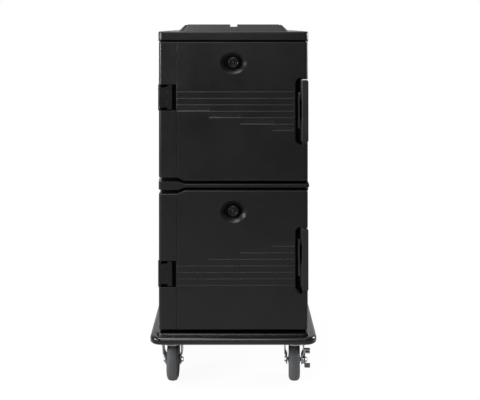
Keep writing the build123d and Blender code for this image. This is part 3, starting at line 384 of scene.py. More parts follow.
@dataclass
class Frame:
    """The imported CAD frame, with what its record says at hand.

    Attributes:
        bodies: Each node's body.
        slots: Each node's material slot.
        joints: Each joint by its name.
    """

    loaded: dict
    bodies: dict[str, str] = field(default_factory=dict)
    slots: dict[str, str] = field(default_factory=dict)
    joints: dict[str, dict] = field(default_factory=dict)

    def __post_init__(self) -> None:
        """Look up each node's body and slot, and each joint by name."""
        record = self.loaded["record"]
        for body, nodes in record["behaviour"]["bodies"].items():
            self.bodies.update({node: body for node in nodes})
        self.slots = {part["node"]: part["material_slot"] for part in record["subparts"]}
        self.joints = {joint["name"]: joint for joint in self.loaded["joints"]}

    def node(self, name: str) -> bpy.types.Object:
        """Return a CAD node's object."""
        return self.loaded["nodes"][name]

    def coat(self, name: str, finish: Finish) -> None:
        """Put one finish on a CAD node."""
        data = self.node(name).data
        data.materials.clear()
        data.materials.append(finish.material())

    def copy(self, node: str, flat: float = FLAT_ANGLE) -> bmesh.types.BMesh:
        """Copy a CAD node's mesh and join its loose triangles.

        Args:
            node: The CAD node.
            flat: Triangles that bend by less than this become one face.

        Returns:
            The copy.
        """
        mesh = bmesh.new()
        mesh.from_mesh(self.node(node).data)
        bmesh.ops.remove_doubles(mesh, verts=mesh.verts, dist=MERGE)
        bmesh.ops.dissolve_limit(mesh, angle_limit=flat, verts=mesh.verts, edges=mesh.edges, delimit={"NORMAL"})
        return mesh

    def piece(self, name: str, mesh: bmesh.types.BMesh, finish: Finish, node: str, stands_for: bool = True,
              turn_out: bool = True, marked: bool = False) -> bpy.types.Object:
        """Turn a bmesh into an object that rides with a CAD node.

        Args:
            name: The object's name.
            mesh: The shape, already in place. It is freed.
            finish: The surface finish.
            node: The CAD node whose body it takes.
            stands_for: Whether it replaces that node.
            turn_out: Whether the faces still have to be turned outwards.
            marked: Whether edges that are already marked sharp stay so.

        Returns:
            The new object.
        """
        bmesh.ops.remove_doubles(mesh, verts=mesh.verts, dist=MERGE)
        if turn_out:
            bmesh.ops.recalc_face_normals(mesh, faces=mesh.faces)
        mesh.normal_update()
        for face in mesh.faces:
            face.smooth = True
        for edge in mesh.edges:
            kept = marked and not edge.smooth
            edge.smooth = not kept and edge.calc_face_angle(0.0) < SHARP_ANGLE
        data = bpy.data.meshes.new(name)
        mesh.to_mesh(data)
        mesh.free()
        data.materials.append(finish.material())
        made = bpy.data.objects.new(name, data)
        bpy.context.scene.collection.objects.link(made)
        made.modifiers.new("flat_faces_stay_flat", "WEIGHTED_NORMAL").keep_sharp = True
        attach(made, self.bodies[node])
        if stands_for:
            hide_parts(node)
        LOG.info("piece %s: %d faces", name, len(data.polygons))
        return made

    def soften(self, node: str, finish: Finish, radius: float) -> None:
        """Replace a CAD node by a copy with its edges rounded over.

        Args:
            node: The CAD node.
            finish: The surface finish.
            radius: The rounding's width.
        """
        mesh = self.copy(node, SOFT_FLAT_ANGLE)
        sharp = [edge for edge in mesh.edges
                 if len(edge.link_faces) == 2 and edge.calc_face_angle(0.0) > SOFT_EDGE_ANGLE]
        round_over(mesh, sharp, radius)
        self.piece(f"{node}_rounded", mesh, finish, node, turn_out=False)


@dataclass
class Cabinet:
    """The fixed cabinet: base, outer walls, cover and compartments.

    Attributes:
        rail_round: The rounding of the pan rails.
        shelf_half: Half the thickness of the shelf between the doors.
        shelf_past: How far beside the door the shelf's thick end starts, and how deep its front edges lie.
        shelf_upright: The least height of the thick end's upright edges.
        shelf_round: The rounding of the thick end's front.
        shelf_steps: The steps of that rounding.
        strip_clear: The gap between an end strip and a door.
        strip_wide: An end strip's width.
        strip_proud: How far it stands past the door's side.
        strip_front: How far it starts behind the door's front.
        strip_back: How far it reaches behind the door's skin.
        strip_round: The rounding of its edges.
        panel_round: How much of the cover's raised panel is rounded at each end.
        panel_radius: The radius of that rounding.
        panel_steps: The steps of that rounding.
    """

    rail_round: float = 2.0 * MM
    shelf_half: float = 5.5 * MM
    shelf_past: float = 1.0 * MM
    shelf_upright: float = 4.0 * MM
    shelf_round: float = 9.0 * MM
    shelf_steps: int = 6
    strip_clear: float = 0.8 * MM
    strip_wide: float = 5.0 * MM
    strip_proud: float = 0.5 * MM
    strip_front: float = 1.5 * MM
    strip_back: float = 10.0 * MM
    strip_round: float = 1.2 * MM
    panel_round: float = 14.0 * MM
    panel_radius: float = 20.0 * MM
    panel_steps: int = 5

    def flush_shelf_end(self, frame: Frame) -> None:
        """Draw in and round over the shelf's thick end, so that it is flush with the doors' hinged edges.

        Args:
            frame: The CAD frame.
        """
        door_low, door_high = (Vector(corner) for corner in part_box(f"{Level.UPPER.value}_door_shell"))
        mesh = frame.copy("body_shell")
        end = [vert for vert in mesh.verts
               if vert.co.x < door_low.x - self.shelf_past and vert.co.y < door_high.y]
        reach = min(vert.co.x for vert in end)
        drawn = [vert for vert in end if vert.co.x < reach + NEAR]
        bmesh.ops.translate(mesh, verts=drawn, vec=(door_low.x - reach, 0, 0))
        front = [edge for edge in mesh.edges
                 if all(abs(vert.co.x - door_low.x) < NEAR and vert.co.y < door_low.y + self.shelf_past
                        for vert in edge.verts)
                 and abs(edge.verts[0].co.z - edge.verts[1].co.z) > self.shelf_upright]
        LOG.info("shelf end: %d points drawn in, %d edges rounded", len(drawn), len(front))
        round_over(mesh, front, self.shelf_round, self.shelf_steps)
        frame.piece("cabinet_walls", mesh, SHELL, "body_shell", turn_out=False)

    def rounded_cover(self, frame: Frame) -> None:
        """Round over the two ends of the cover's raised panel.

        Args:
            frame: The CAD frame.
        """
        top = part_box("top_cover")[1][2] - NEAR
        mesh = frame.copy("top_cover")
        start = max(vert.co.x for vert in mesh.verts if vert.co.z > top) - self.panel_round
        for step in range(self.panel_steps):
            past = start + self.panel_round * step / self.panel_steps
            cut_across(mesh, -past)
            cut_across(mesh, past)
        for vert in mesh.verts:
            past = abs(vert.co.x) - start
            if past > 0 and vert.co.z > top:
                vert.co.z -= self.panel_radius - math.sqrt(self.panel_radius ** 2 - past ** 2)
        frame.piece("top_cover_rounded", mesh, SHELL, "top_cover", turn_out=False)

    def end_strips(self, frame: Frame) -> None:
        """Close the ends of the gaps over and under the doors with short rounded strips.

        Args:
            frame: The CAD frame.
        """
        lower, upper = (tuple(Vector(corner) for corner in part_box(f"{level.value}_door_shell"))
                        for level in (Level.LOWER, Level.UPPER))
        cover = Vector(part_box("top_cover")[0])
        middle = (lower[1].z + upper[0].z) / 2
        front, back = upper[0].y + self.strip_front, upper[1].y + self.strip_back
        outer = upper[1].x + self.strip_proud
        inner = outer - self.strip_wide
        spans = [("cover_end_strips", (upper[1].z + self.strip_clear, cover.z), (-1, 1)),
                 ("shelf_upper_end_strip", (middle + self.shelf_half, upper[0].z - self.strip_clear), (1,)),
                 ("shelf_lower_end_strip", (lower[1].z + self.strip_clear, middle - self.shelf_half), (1,))]
        for name, (bottom, top), sides in spans:
            mesh = bmesh.new()
            for side in sides:
                left, right = sorted((side * inner, side * outer))
                rounded_box(mesh, (left, front, bottom), (right, back, top), self.strip_round)
            frame.piece(name, mesh, SHELL, "body_shell", stands_for=False)

    def build(self, frame: Frame) -> None:
        """Round over the pan rails, the shelf's end and the cover's panel, and add the end strips.

        Args:
            frame: The CAD frame.
        """
        for level in Level:
            frame.soften(f"{level.value}_pan_rails", LINER, self.rail_round)
        self.flush_shelf_end(frame)
        self.rounded_cover(frame)
        self.end_strips(frame)

    def dress(self, frame: Frame) -> None:
        """Give the cabinet's CAD nodes their finishes.

        Args:
            frame: The CAD frame.
        """
        # The bumper's darker colour is painted shade
        frame.coat("base_moulding", SHADED_BUMPER)
        for level in Level:
            frame.coat(f"{level.value}_liner", LINER)
        frame.coat("foam_core", FOAM)


@dataclass
class DoorSet:
    """One door with its hinge, latch and vent.

    Attributes:
        level: The compartment that it closes.
        fitting_round: The rounding of the hinge leaves and the latch bracket.
        lever_round: The rounding of the latch lever.
        web_low: Where the hinge's web starts right of and behind the pin.
        web_high: Where it ends.
        seal_corner: The radius of the seal's corners.
        seal_corner_steps: The steps of that radius.
        seal_lip: One lip's section from the outside: steps across in millimetres, and up in shares of the height.
        seal_groove: The width of the groove between the lips, in millimetres.
        vent_stem: The radius of the vent's stem.
        vent_rim: The cap's rim in millimetres: back from its face, and in from its outer radius.
        vent_rings: Its inner ring and button in millimetres: back from its face, and the radius.
        vent_steps: The steps of its turn.
        stripe_rows: How many stripes the door has.
        whole_rows: How many of them run the full width; each further one starts a column further right.
        stripe_first: The first stripe's distance from the door's middle.
        stripe_pitch: The distance between stripes.
        stripe_deep: The depth of a stripe in the CAD, at its ledge.
        stripe_out: Where a stripe runs out in the CAD, from its edge.
        stripe_high: Where the lower door's stripes run out.
        fine_deep: The depth of the upper door's finer stripes.
        turned_deep: The depth of the lower door's stripes in each column.
        column_step: How long a stripe takes to change its depth between columns.
        crease: A stripe's edges that bend by more than this stay sharp.
        shade_from: How far behind the door's front the pockets' painted shade starts.
        shade_side: The rim of the door's sides that stays out of it.
        shade_reach: How far above and below the door's middle it goes.
    """

    level: Level
    fitting_round: float = 0.9 * MM
    lever_round: float = 1.6 * MM
    web_low: tuple[float, float] = (1.0 * MM, 19.0 * MM)
    web_high: tuple[float, float] = (4.0 * MM, 58.0 * MM)
    seal_corner: float = 26.0 * MM
    seal_corner_steps: int = 8
    seal_lip: tuple[tuple[float, float], ...] = ((0.1, 0.5), (0.8, 0.4), (1.2, 0.1), (1.4, 0.0), (1.0, -0.45))
    seal_groove: float = 4.6
    vent_stem: float = 10.0 * MM
    vent_rim: tuple[tuple[float, float], ...] = (
        (7.0, 0.8), (6.2, 0.0), (2.0, 0.0), (0.6, 0.7), (0.0, 2.0), (0.0, 3.4), (0.5, 4.1), (2.2, 4.6))
    vent_rings: tuple[tuple[float, float], ...] = (
        (2.4, 8.4), (1.0, 7.9), (0.6, 7.2), (1.0, 6.5), (2.4, 6.0), (2.4, 4.6), (1.4, 4.2), (0.5, 3.0), (0.2, 1.5),
        (0.1, 0.0))
    vent_steps: int = 64
    stripe_rows: int = 7
    whole_rows: int = 4
    stripe_first: float = 60.5 * MM
    stripe_pitch: float = 20.2 * MM
    stripe_deep: float = 2.2 * MM
    stripe_out: float = 15.06 * MM
    stripe_high: float = 18.0 * MM
    fine_deep: float = 0.7 * MM
    turned_deep: tuple[float, ...] = (0.35 * MM, 0.5 * MM, 1.1 * MM, 1.4 * MM)
    column_step: float = 1.0 * MM
    crease: float = math.radians(2)
    shade_from: float = 11.0 * MM
    shade_side: float = 1.5 * MM
    shade_reach: float = 175.0 * MM

    def node(self, part: str) -> str:
        """Name this door's CAD node for a part."""
        return f"{self.level.value}_{part}"

    @staticmethod
    def line(mesh: bmesh.types.BMesh, y: float, z: float) -> list[bmesh.types.BMVert]:
        """Find the points of a mesh on one line along X.

        Args:
            mesh: The mesh to search.
            y: The line's place along Y.
            z: The line's height.

        Returns:
            The points on the line.
        """
        return [vert for vert in mesh.verts if abs(vert.co.y - y) < NEAR and abs(vert.co.z - z) < NEAR]

    def stripe_depth(self, row: int, column: int) -> float:
        """Choose how deep one stripe is cut in one column.

        Args:
            row: The stripe, counted from the top on the upper door and from the bottom on the lower one.
            column: The column, counted from the hinge.

        Returns:
            The depth at the stripe's ledge.
        """
        if self.level is Level.LOWER:
            return self.turned_deep[column]
        return self.stripe_deep if row == self.whole_rows - 1 + column else self.fine_deep

    def cut_stripes(self, mesh: bmesh.types.BMesh, front: float, middle: float) -> None:
        """Cut the stripes finer by column, on the lower door with ledges that face up, and mark their edges.

        Args:
            mesh: The copy of the door's skin.
            front: The place of the door's front along Y.
            middle: The height of the door's middle.
        """
        turned = self.level is Level.LOWER
        way = -1 if turned else 1
        deep = front + self.stripe_deep
        heights = [middle + way * (self.stripe_first - self.stripe_pitch * row) for row in range(self.stripe_rows)]
        feet = [height + way * self.stripe_deep for height in heights]
        starts = [min(vert.co.x for vert in self.line(mesh, deep, foot)) for foot in feet]
        columns = starts[self.whole_rows - 1:]
        for start in columns:
            cut_across(mesh, start)
            cut_across(mesh, start + self.column_step)
        half_step = self.column_step / 2
        for row, (height, foot) in enumerate(zip(heights, feet)):
            ledge, run_out = ([vert for vert in self.line(mesh, y, z) if vert.co.x > starts[0] + half_step]
                              for y, z in ((deep, foot), (front, height + way * self.stripe_out)))
            LOG.info("stripe %d: %d points along its ledge, %d where it runs out", row, len(ledge), len(run_out))
            first = max(0, row - self.whole_rows + 1)
            for vert in ledge:
                column = max(i for i, start in enumerate(columns) if i == first or vert.co.x > start + half_step)
                cut = self.stripe_depth(row, column)
                vert.co.y = front + cut
                vert.co.z = height + way * (self.stripe_high - cut if turned else cut)
            for vert in run_out if turned else ():
                vert.co.z = height + way * self.stripe_high
        mesh.normal_update()
        bottom, top = min(heights) - self.stripe_pitch, max(heights) + self.stripe_pitch
        for edge in mesh.edges:
            inside = all(vert.co.y < deep + MERGE and vert.co.x > starts[0] - MERGE and bottom < vert.co.z < top
                         for vert in edge.verts)
            edge.smooth = not (inside and edge.calc_face_angle(0.0) > self.crease)

    def skin(self, frame: Frame) -> None:
        """Copy the door's skin, cut its stripes finer and paint shade into its pockets.

        Args:
            frame: The CAD frame.
        """
        low, high = (Vector(corner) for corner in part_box(self.node("door_shell")))
        middle = (low.z + high.z) / 2
        mesh = frame.copy(self.node("door_shell"))
        self.cut_stripes(mesh, low.y, middle)
        # Faces deep in the pockets and the vent's dish take the second material, which is painted shade
        for face in mesh.faces:
            at = face.calc_center_bounds()
            face.material_index = int(at.y > low.y + self.shade_from and abs(at.z - middle) < self.shade_reach
                                      and abs(at.x) < high.x - self.shade_side)
        made = frame.piece(self.node("door_skin"), mesh, SHELL, self.node("door_shell"), turn_out=False,
                           marked=True)
        made.data.materials.append(POCKET_SHADE.material())

    def seal(self, frame: Frame) -> None:
        """Model the seal as an extruded strip with two lips and a groove between them.

        Args:
            frame: The CAD frame.
        """
        low, high = (Vector(corner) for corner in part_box(self.node("door_gasket")))
        mesh = bmesh.new()
        middle = (low + high) / 2
        lie = Matrix.Translation((middle.x, low.y, middle.z)) @ Matrix.Rotation(-QUARTER_TURN, 4, "X")
        size = Matrix.Diagonal((high.x - low.x, high.z - low.z, 1.0, 1.0))
        verts = bmesh.ops.create_grid(mesh, x_segments=1, y_segments=1, size=0.5, matrix=lie @ size)["verts"]
        round_over(mesh, verts, self.seal_corner, self.seal_corner_steps, corners=True)
        bmesh.ops.recalc_face_normals(mesh, faces=mesh.faces)
        face = mesh.faces[:][0]
        if face.normal.y < 0:
            face.normal_flip()
        inner_lip = [(across, -up) for across, up in reversed(self.seal_lip)]
        for across, up in (*self.seal_lip, (self.seal_groove, 0.0), *inner_lip):
            bmesh.ops.inset_region(mesh, faces=[face], use_boundary=True, thickness=across * MM,
                                   depth=up * (high.y - low.y), use_even_offset=True)
        bmesh.ops.delete(mesh, geom=[face], context="FACES")
        rims = [edge for edge in mesh.edges if len(edge.link_faces) == 1]
        bmesh.ops.bridge_loops(mesh, edges=rims)
        frame.piece(self.node("lipped_seal"), mesh, SEAL, self.node("door_gasket"))

    def vent(self, frame: Frame) -> None:
        """Model the vent's pull cap: a dished disc with two raised rings and a domed button.

        Args:
            frame: The CAD frame.
        """
        low, high = (Vector(corner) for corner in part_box(self.node("vent_cap")))
        middle = (low + high) / 2
        deep = high.y - low.y
        outer = (high.x - low.x) / 2
        outline = [(0.0, 0.0), (0.0, self.vent_stem), (deep - self.vent_rim[0][0] * MM, self.vent_stem),
                   *((deep - back * MM, outer - inward * MM) for back, inward in self.vent_rim),
                   *((deep - back * MM, radius * MM) for back, radius in self.vent_rings)]
        mesh = bmesh.new()
        spin_profile(mesh, outline, self.vent_steps, closed=False)
        face_front = Matrix.Rotation(-QUARTER_TURN, 4, "Z")
        bmesh.ops.transform(mesh, matrix=Matrix.Translation((middle.x, high.y, middle.z)) @ face_front,
                            verts=mesh.verts)
        frame.piece(self.node("vent_pull"), mesh, CAP, self.node("vent_cap"))

    def hinge_web(self, frame: Frame) -> None:
        """Close the slot behind the hinge's barrel with a web between the arms of the fixed leaf.

        Args:
            frame: The CAD frame.
        """
        pin = Vector(frame.joints[self.node("door_swing")]["pos_m"])
        low, high = (Vector(corner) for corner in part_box(self.node("hinge_body_leaf")))
        mesh = bmesh.new()
        rounded_box(mesh, (pin.x + self.web_low[0], pin.y + self.web_low[1], low.z + self.fitting_round),
                    (pin.x + self.web_high[0], pin.y + self.web_high[1], high.z - self.fitting_round),
                    self.fitting_round)
        frame.piece(self.node("hinge_web"), mesh, NYLON, self.node("hinge_body_leaf"), stands_for=False)

    def build(self, frame: Frame) -> None:
        """Model the skin, the seal, the vent's cap and the hinge's web, and round over the nylon fittings.

        Args:
            frame: The CAD frame.
        """
        self.skin(frame)
        self.seal(frame)
        self.vent(frame)
        self.hinge_web(frame)
        frame.soften(self.node("latch_lever"), LEVER, self.lever_round)
        for part in ("hinge_door_leaf", "hinge_body_leaf", "latch_bracket"):
            frame.soften(self.node(part), NYLON, self.fitting_round)

    def dress(self, frame: Frame) -> None:
        """Give the door's CAD nodes their finishes.

        Args:
            frame: The CAD frame.
        """
        # The keeper's lighter grey is a painted highlight
        # The vent sleeve's finish is painted shade
        finishes = {"door_panel": LINER, "door_foam": FOAM, "latch_keeper": LIT_KEEPER, "vent_sleeve": SHADED_SLEEVE,
                    "vent_seal": SEAL}
        for part, finish in finishes.items():
            frame.coat(self.node(part), finish)


@dataclass
class Fasteners:
    """The fittings' screws and pins.

    Attributes:
        head: A screw head's radius.
        head_thick: Its thickness.
        head_dome: Its outline up to the recess, in shares of the thickness and the radius.
        recess: The radius of its recess.
        recess_deep: The recess's depth.
        recess_floor: The recess's radius at its floor, as a share.
        recess_dish: The height of the floor's middle, as a share of its edge's.
        lobes: How many lobes the recess has.
        lobe_deep: How deep the lobes are, as a share of the recess's radius.
        steps: The steps of the head's turn.
        screws: The screws' nodes, the way they face and their finish.
    """

    head: float = 4.2 * MM
    head_thick: float = 2.4 * MM
    head_dome: tuple[tuple[float, float], ...] = ((0.0, 0.0), (0.0, 1.0), (0.45, 1.0), (0.75, 0.93), (0.93, 0.78))
    recess: float = 2.3 * MM
    recess_deep: float = 1.3 * MM
    recess_floor: float = 0.92
    recess_dish: float = 0.85
    lobes: int = 6
    lobe_deep: float = 0.14
    steps: int = 48
    screws: tuple[tuple[str, Facing, Finish], ...] = (
        ("hinge_body_screws", Facing.LEFT, SCREW), ("latch_screws", Facing.RIGHT, SCREW),
        *((f"{level.value}_hinge_door_screws", Facing.FRONT, DARK_SCREW) for level in Level))

    def pan_head(self, mesh: bmesh.types.BMesh, place: Matrix) -> None:
        """Model one domed screw head with a six-lobed recess, facing +X.

        Args:
            mesh: The bmesh to add to.
            place: Where the head's seat is and which way it faces.
        """
        floor = self.head_thick - self.recess_deep
        profile = [*((rise * self.head_thick, share * self.head) for rise, share in self.head_dome),
                   (self.head_thick, self.recess), (floor, self.recess * self.recess_floor),
                   (floor * self.recess_dish, 0.0)]
        verts = spin_profile(mesh, profile, self.steps, closed=False)
        for vert in verts:
            if MERGE < math.hypot(vert.co.y, vert.co.z) < self.recess + NEAR:
                turn = math.atan2(vert.co.z, vert.co.y)
                shrink = 1 - self.lobe_deep * (1 - math.cos(self.lobes * turn))
                vert.co.y *= shrink
                vert.co.z *= shrink
        bmesh.ops.transform(mesh, matrix=place, verts=verts)

    def islands(self, frame: Frame, node: str) -> list[tuple[Vector, Vector]]:
        """Find the box of each separate solid in a CAD node.

        Args:
            frame: The CAD frame.
            node: The CAD node.

        Returns:
            The lowest and highest corners of each solid.
        """
        mesh = frame.copy(node)
        left = set(mesh.verts)
        boxes = []
        while left:
            front = [left.pop()]
            found = list(front)
            while front:
                near = {edge.other_vert(vert) for vert in front for edge in vert.link_edges} & left
                left -= near
                front = list(near)
                found += front
            corners = [[vert.co[axis] for vert in found] for axis in range(3)]
            boxes.append((Vector(map(min, corners)), Vector(map(max, corners))))
        mesh.free()
        return sorted(boxes, key=lambda box: tuple(box[0]))

    def build(self, frame: Frame) -> None:
        """Model the screws' heads.

        Args:
            frame: The CAD frame.
        """
        for node, facing, finish in self.screws:
            turn = Matrix.Rotation(math.radians(facing.value), 4, "Z")
            way = turn @ Vector((1, 0, 0))
            mesh = bmesh.new()
            for low, high in self.islands(frame, node):
                reach = abs((high - low).dot(way)) / 2
                seat = (low + high) / 2 + way * (reach - self.head_thick)
                self.pan_head(mesh, Matrix.Translation(seat) @ turn)
            frame.piece(f"{node}_heads", mesh, finish, node)

    def dress(self, frame: Frame) -> None:
        """Give the pins their finish.

        Args:
            frame: The CAD frame.
        """
        for name in ("hinge_pins", "latch_pins"):
            frame.coat(name, SCREW)


@dataclass
class CasterSet:
    """The four casters with their wheels, forks, fixings and the foot brake.

    Attributes:
        tyre_radius: The tyre's radius at its crown.
        tyre_inner: The radius at which it meets the hub.
        tyre_half: Half its width.
        shoulder: The rounding of its shoulders.
        shoulder_steps: The steps of that rounding.
        crown: How far the tread falls from its middle to the shoulders.
        groove_at: Where the tread's grooves are.
        groove_half: Half a groove's width.
        groove_floor: The floor of a groove, as a share of its width.
        groove_deep: A groove's depth.
        ridge_high: The height of the ridge around the tyre's sides.
        ridge_at: Where it starts, is full, falls and ends, from the tyre's inner radius.
        rim_half: Half the width of the hub's rim.
        rim_inner: The rim's inner radius.
        web_half: Half the thickness of the hub's web.
        boss: The radius of its boss.
        boss_half: Half the boss's length.
        bore: The radius of its bore.
        hub_lip: The step that its rounded edges and rings are drawn in.
        ribs: How many ribs each side of the web has.
        rib_half: Half a rib's thickness.
        rib_sink: How far a rib runs into web, boss and rim.
        rib_back: How far it stays behind the rim's face.
        rib_round: The rounding of its edges.
        steel_round: The rounding of the pressed steel.
        pad_at: The foot pad's left edge, front and middle, from the wheel's middle.
        pad_half: Half its height.
        pad_thick: Its thickness.
        pad_length: Its length.
        pad_round: The rounding of its edges.
        pad_ribs: How many ribs it has.
        pad_rib_half: Half a rib's width, as a share of their spacing.
        pad_rib_proud: How far a rib stands out of the pad.
        pad_rib_sink: How far it reaches into the pad.
        pad_rib_inset: How far it ends before the pad's edges.
        pad_rib_round: The rounding of its edges.
        steps: The steps of a wheel's turn.
        steel_nodes: The CAD nodes of plated steel.
    """

    tyre_radius: float = 63.5 * MM
    tyre_inner: float = 47.0 * MM
    tyre_half: float = 18.0 * MM
    shoulder: float = 12.0 * MM
    shoulder_steps: int = 7
    crown: float = 1.0 * MM
    groove_at: tuple[float, ...] = (-3.8 * MM, 3.8 * MM)
    groove_half: float = 0.8 * MM
    groove_floor: float = 0.6
    groove_deep: float = 0.7 * MM
    ridge_high: float = 0.8 * MM
    ridge_at: tuple[float, float, float, float] = (2.5 * MM, 3.3 * MM, 4.6 * MM, 5.4 * MM)
    rim_half: float = 15.0 * MM
    rim_inner: float = 41.0 * MM
    web_half: float = 4.5 * MM
    boss: float = 14.0 * MM
    boss_half: float = 21.0 * MM
    bore: float = 5.06 * MM
    hub_lip: float = 1.0 * MM
    ribs: int = 8
    rib_half: float = 1.7 * MM
    rib_sink: float = 1.0 * MM
    rib_back: float = 3.0 * MM
    rib_round: float = 0.8 * MM
    steel_round: float = 0.9 * MM
    pad_at: tuple[float, float, float] = (32.5 * MM, -46.0 * MM, 1.0 * MM)
    pad_half: float = 7.0 * MM
    pad_thick: float = 3.2 * MM
    pad_length: float = 17.0 * MM
    pad_round: float = 1.2 * MM
    pad_ribs: int = 4
    pad_rib_half: float = 0.3
    pad_rib_proud: float = 1.2 * MM
    pad_rib_sink: float = 1.0 * MM
    pad_rib_inset: float = 0.8 * MM
    pad_rib_round: float = 0.6 * MM
    steps: int = 96
    steel_nodes: tuple[str, ...] = ("caster_races", "kingpins", "caster_bolts", "rear_axles", "front_left_axle",
                                    "front_right_axle")

    def place(self, frame: Frame, wheel: Wheel) -> Matrix:
        """Work out where a wheel's axle lies.

        Args:
            frame: The CAD frame.
            wheel: Which wheel.

        Returns:
            A matrix from a wheel at the origin, turning about X, to its place.
        """
        joint = frame.joints[f"{wheel.value}_roll"]
        along = Vector(joint["axis"]).normalized()
        turn = Vector((1, 0, 0)).rotation_difference(along).to_matrix().to_4x4()
        return Matrix.Translation(joint["pos_m"]) @ turn

    def tyre_profile(self) -> list[tuple[float, float]]:
        """Draw the tyre's section: a crowned, grooved tread between round shoulders and ridged sides.

        Returns:
            The section as (x, radius) points.
        """
        wall = self.tyre_half - self.ridge_high
        ridge = zip((wall, self.tyre_half, self.tyre_half, wall), self.ridge_at)
        side = [(wall, self.tyre_inner), *((x, self.tyre_inner + out) for x, out in ridge)]
        middle = self.tyre_half - self.shoulder
        for step in range(self.shoulder_steps + 1):
            share = step / self.shoulder_steps
            across = self.shoulder - self.ridge_high * (1 - share)
            side.append((middle + across * math.cos(QUARTER_TURN * share),
                         self.tyre_radius - self.crown - self.shoulder * (1 - math.sin(QUARTER_TURN * share))))
        tread = []
        for groove in sorted(self.groove_at, reverse=True):
            top = self.tyre_radius - self.crown * (groove / middle) ** 2
            for offset, drop in ((1, 0), (self.groove_floor, 1), (-self.groove_floor, 1), (-1, 0)):
                tread.append((groove + offset * self.groove_half, top - drop * self.groove_deep))
        tread.insert(len(tread) // 2, (0.0, self.tyre_radius))
        return side + tread + [(-x, radius) for x, radius in reversed(side)]

    def hub_profile(self) -> list[tuple[float, float]]:
        """Draw the hub's section: rim, dished web and stepped boss.

        Returns:
            The section as (x, radius) points.
        """
        lip = self.hub_lip
        half = [(self.rim_half - lip, self.tyre_inner), (self.rim_half, self.tyre_inner - lip),
                (self.rim_half, self.rim_inner + lip), (self.rim_half - lip, self.rim_inner),
                (self.web_half + 2 * lip, self.rim_inner - lip), (self.web_half, self.rim_inner - 4 * lip),
                (self.web_half, self.boss + 4 * lip), (self.web_half + 2 * lip, self.boss + lip),
                (self.boss_half - 3 * lip, self.boss), (self.boss_half - 2 * lip, self.boss - lip),
                (self.boss_half - 2 * lip, self.boss - 2 * lip), (self.boss_half - 3 * lip, self.boss - 3 * lip),
                (self.boss_half - 3 * lip, self.bore + 2 * lip), (self.boss_half, self.bore + 1.5 * lip),
                (self.boss_half, self.bore)]
        return half + [(-x, radius) for x, radius in reversed(half)]

    def hub(self, mesh: bmesh.types.BMesh) -> None:
        """Model a hub with ribs on both sides of its web.

        Args:
            mesh: The bmesh to add to.
        """
        spin_profile(mesh, self.hub_profile(), self.steps)
        for step in range(self.ribs):
            turn = Matrix.Rotation(math.tau * step / self.ribs, 4, "X")
            for side in (-1, 1):
                near, far = sorted((side * (self.web_half - self.rib_sink), side * (self.rim_half - self.rib_back)))
                rounded_box(mesh, (near, -self.rib_half, self.boss - self.rib_sink),
                            (far, self.rib_half, self.rim_inner + self.rib_sink), self.rib_round, turn)

    def brake_pad(self, frame: Frame) -> None:
        """Model the ribbed rubber pad on the front of the brake lever's foot tab.

        Args:
            frame: The CAD frame.
        """
        mesh = bmesh.new()
        place = self.place(frame, Wheel.FRONT_RIGHT)
        x, y, z = self.pad_at
        bottom, top = z - self.pad_half, z + self.pad_half
        rounded_box(mesh, (x, y, bottom), (x + self.pad_length, y + self.pad_thick, top), self.pad_round, place)
        pitch = self.pad_length / self.pad_ribs
        for rib in range(self.pad_ribs):
            middle = x + (rib + 0.5) * pitch
            half = pitch * self.pad_rib_half
            rounded_box(mesh, (middle - half, y - self.pad_rib_proud, bottom + self.pad_rib_inset),
                        (middle + half, y + self.pad_rib_sink, top - self.pad_rib_inset), self.pad_rib_round, place)
        frame.piece("brake_foot_pad", mesh, TYRE, "brake_lever", stands_for=False)

    def build(self, frame: Frame) -> None:
        """Model the tyres, the hubs and the foot pad, and round over the pressed steel.

        Args:
            frame: The CAD frame.
        """
        for wheel in Wheel:
            place = self.place(frame, wheel)
            mesh = bmesh.new()
            spin_profile(mesh, self.tyre_profile(), self.steps)
            bmesh.ops.transform(mesh, matrix=place, verts=mesh.verts)
            frame.piece(f"{wheel.value}_tread", mesh, TYRE, f"{wheel.value}_tyre")
            mesh = bmesh.new()
            self.hub(mesh)
            bmesh.ops.transform(mesh, matrix=place, verts=mesh.verts)
            frame.piece(f"{wheel.value}_ribbed_hub", mesh, HUB, f"{wheel.value}_hub")
            frame.soften(f"{wheel.value}_fork", ZINC, self.steel_round)
        frame.soften("brake_lever", ZINC, self.steel_round)
        frame.soften("front_caster_plates", ZINC, self.steel_round)
        self.brake_pad(frame)

    def dress(self, frame: Frame) -> None:
        """Give the casters' CAD nodes their finishes.

        Args:
            frame: The CAD frame.
        """
        for name in self.steel_nodes:
            frame.coat(name, ZINC)


@dataclass(frozen=True)
class Lamp:
    """One soft square lamp.

    Attributes:
        name: The lamp's name.
        place: Where it hangs.
        aim: The point that it faces.
        size: The side of its square.
        watts: Its power.
    """

    name: str
    place: tuple[float, float, float]
    aim: tuple[float, float, float]
    size: float
    watts: float

    def hang(self) -> None:
        """Add the lamp to the scene."""
        data = bpy.data.lights.new(self.name, "AREA")
        data.size = self.size
        data.energy = self.watts
        lamp = bpy.data.objects.new(self.name, data)
        lamp.location = self.place
        lamp.rotation_euler = (Vector(self.aim) - Vector(self.place)).to_track_quat("-Z", "Y").to_euler()
        bpy.context.scene.collection.objects.link(lamp)


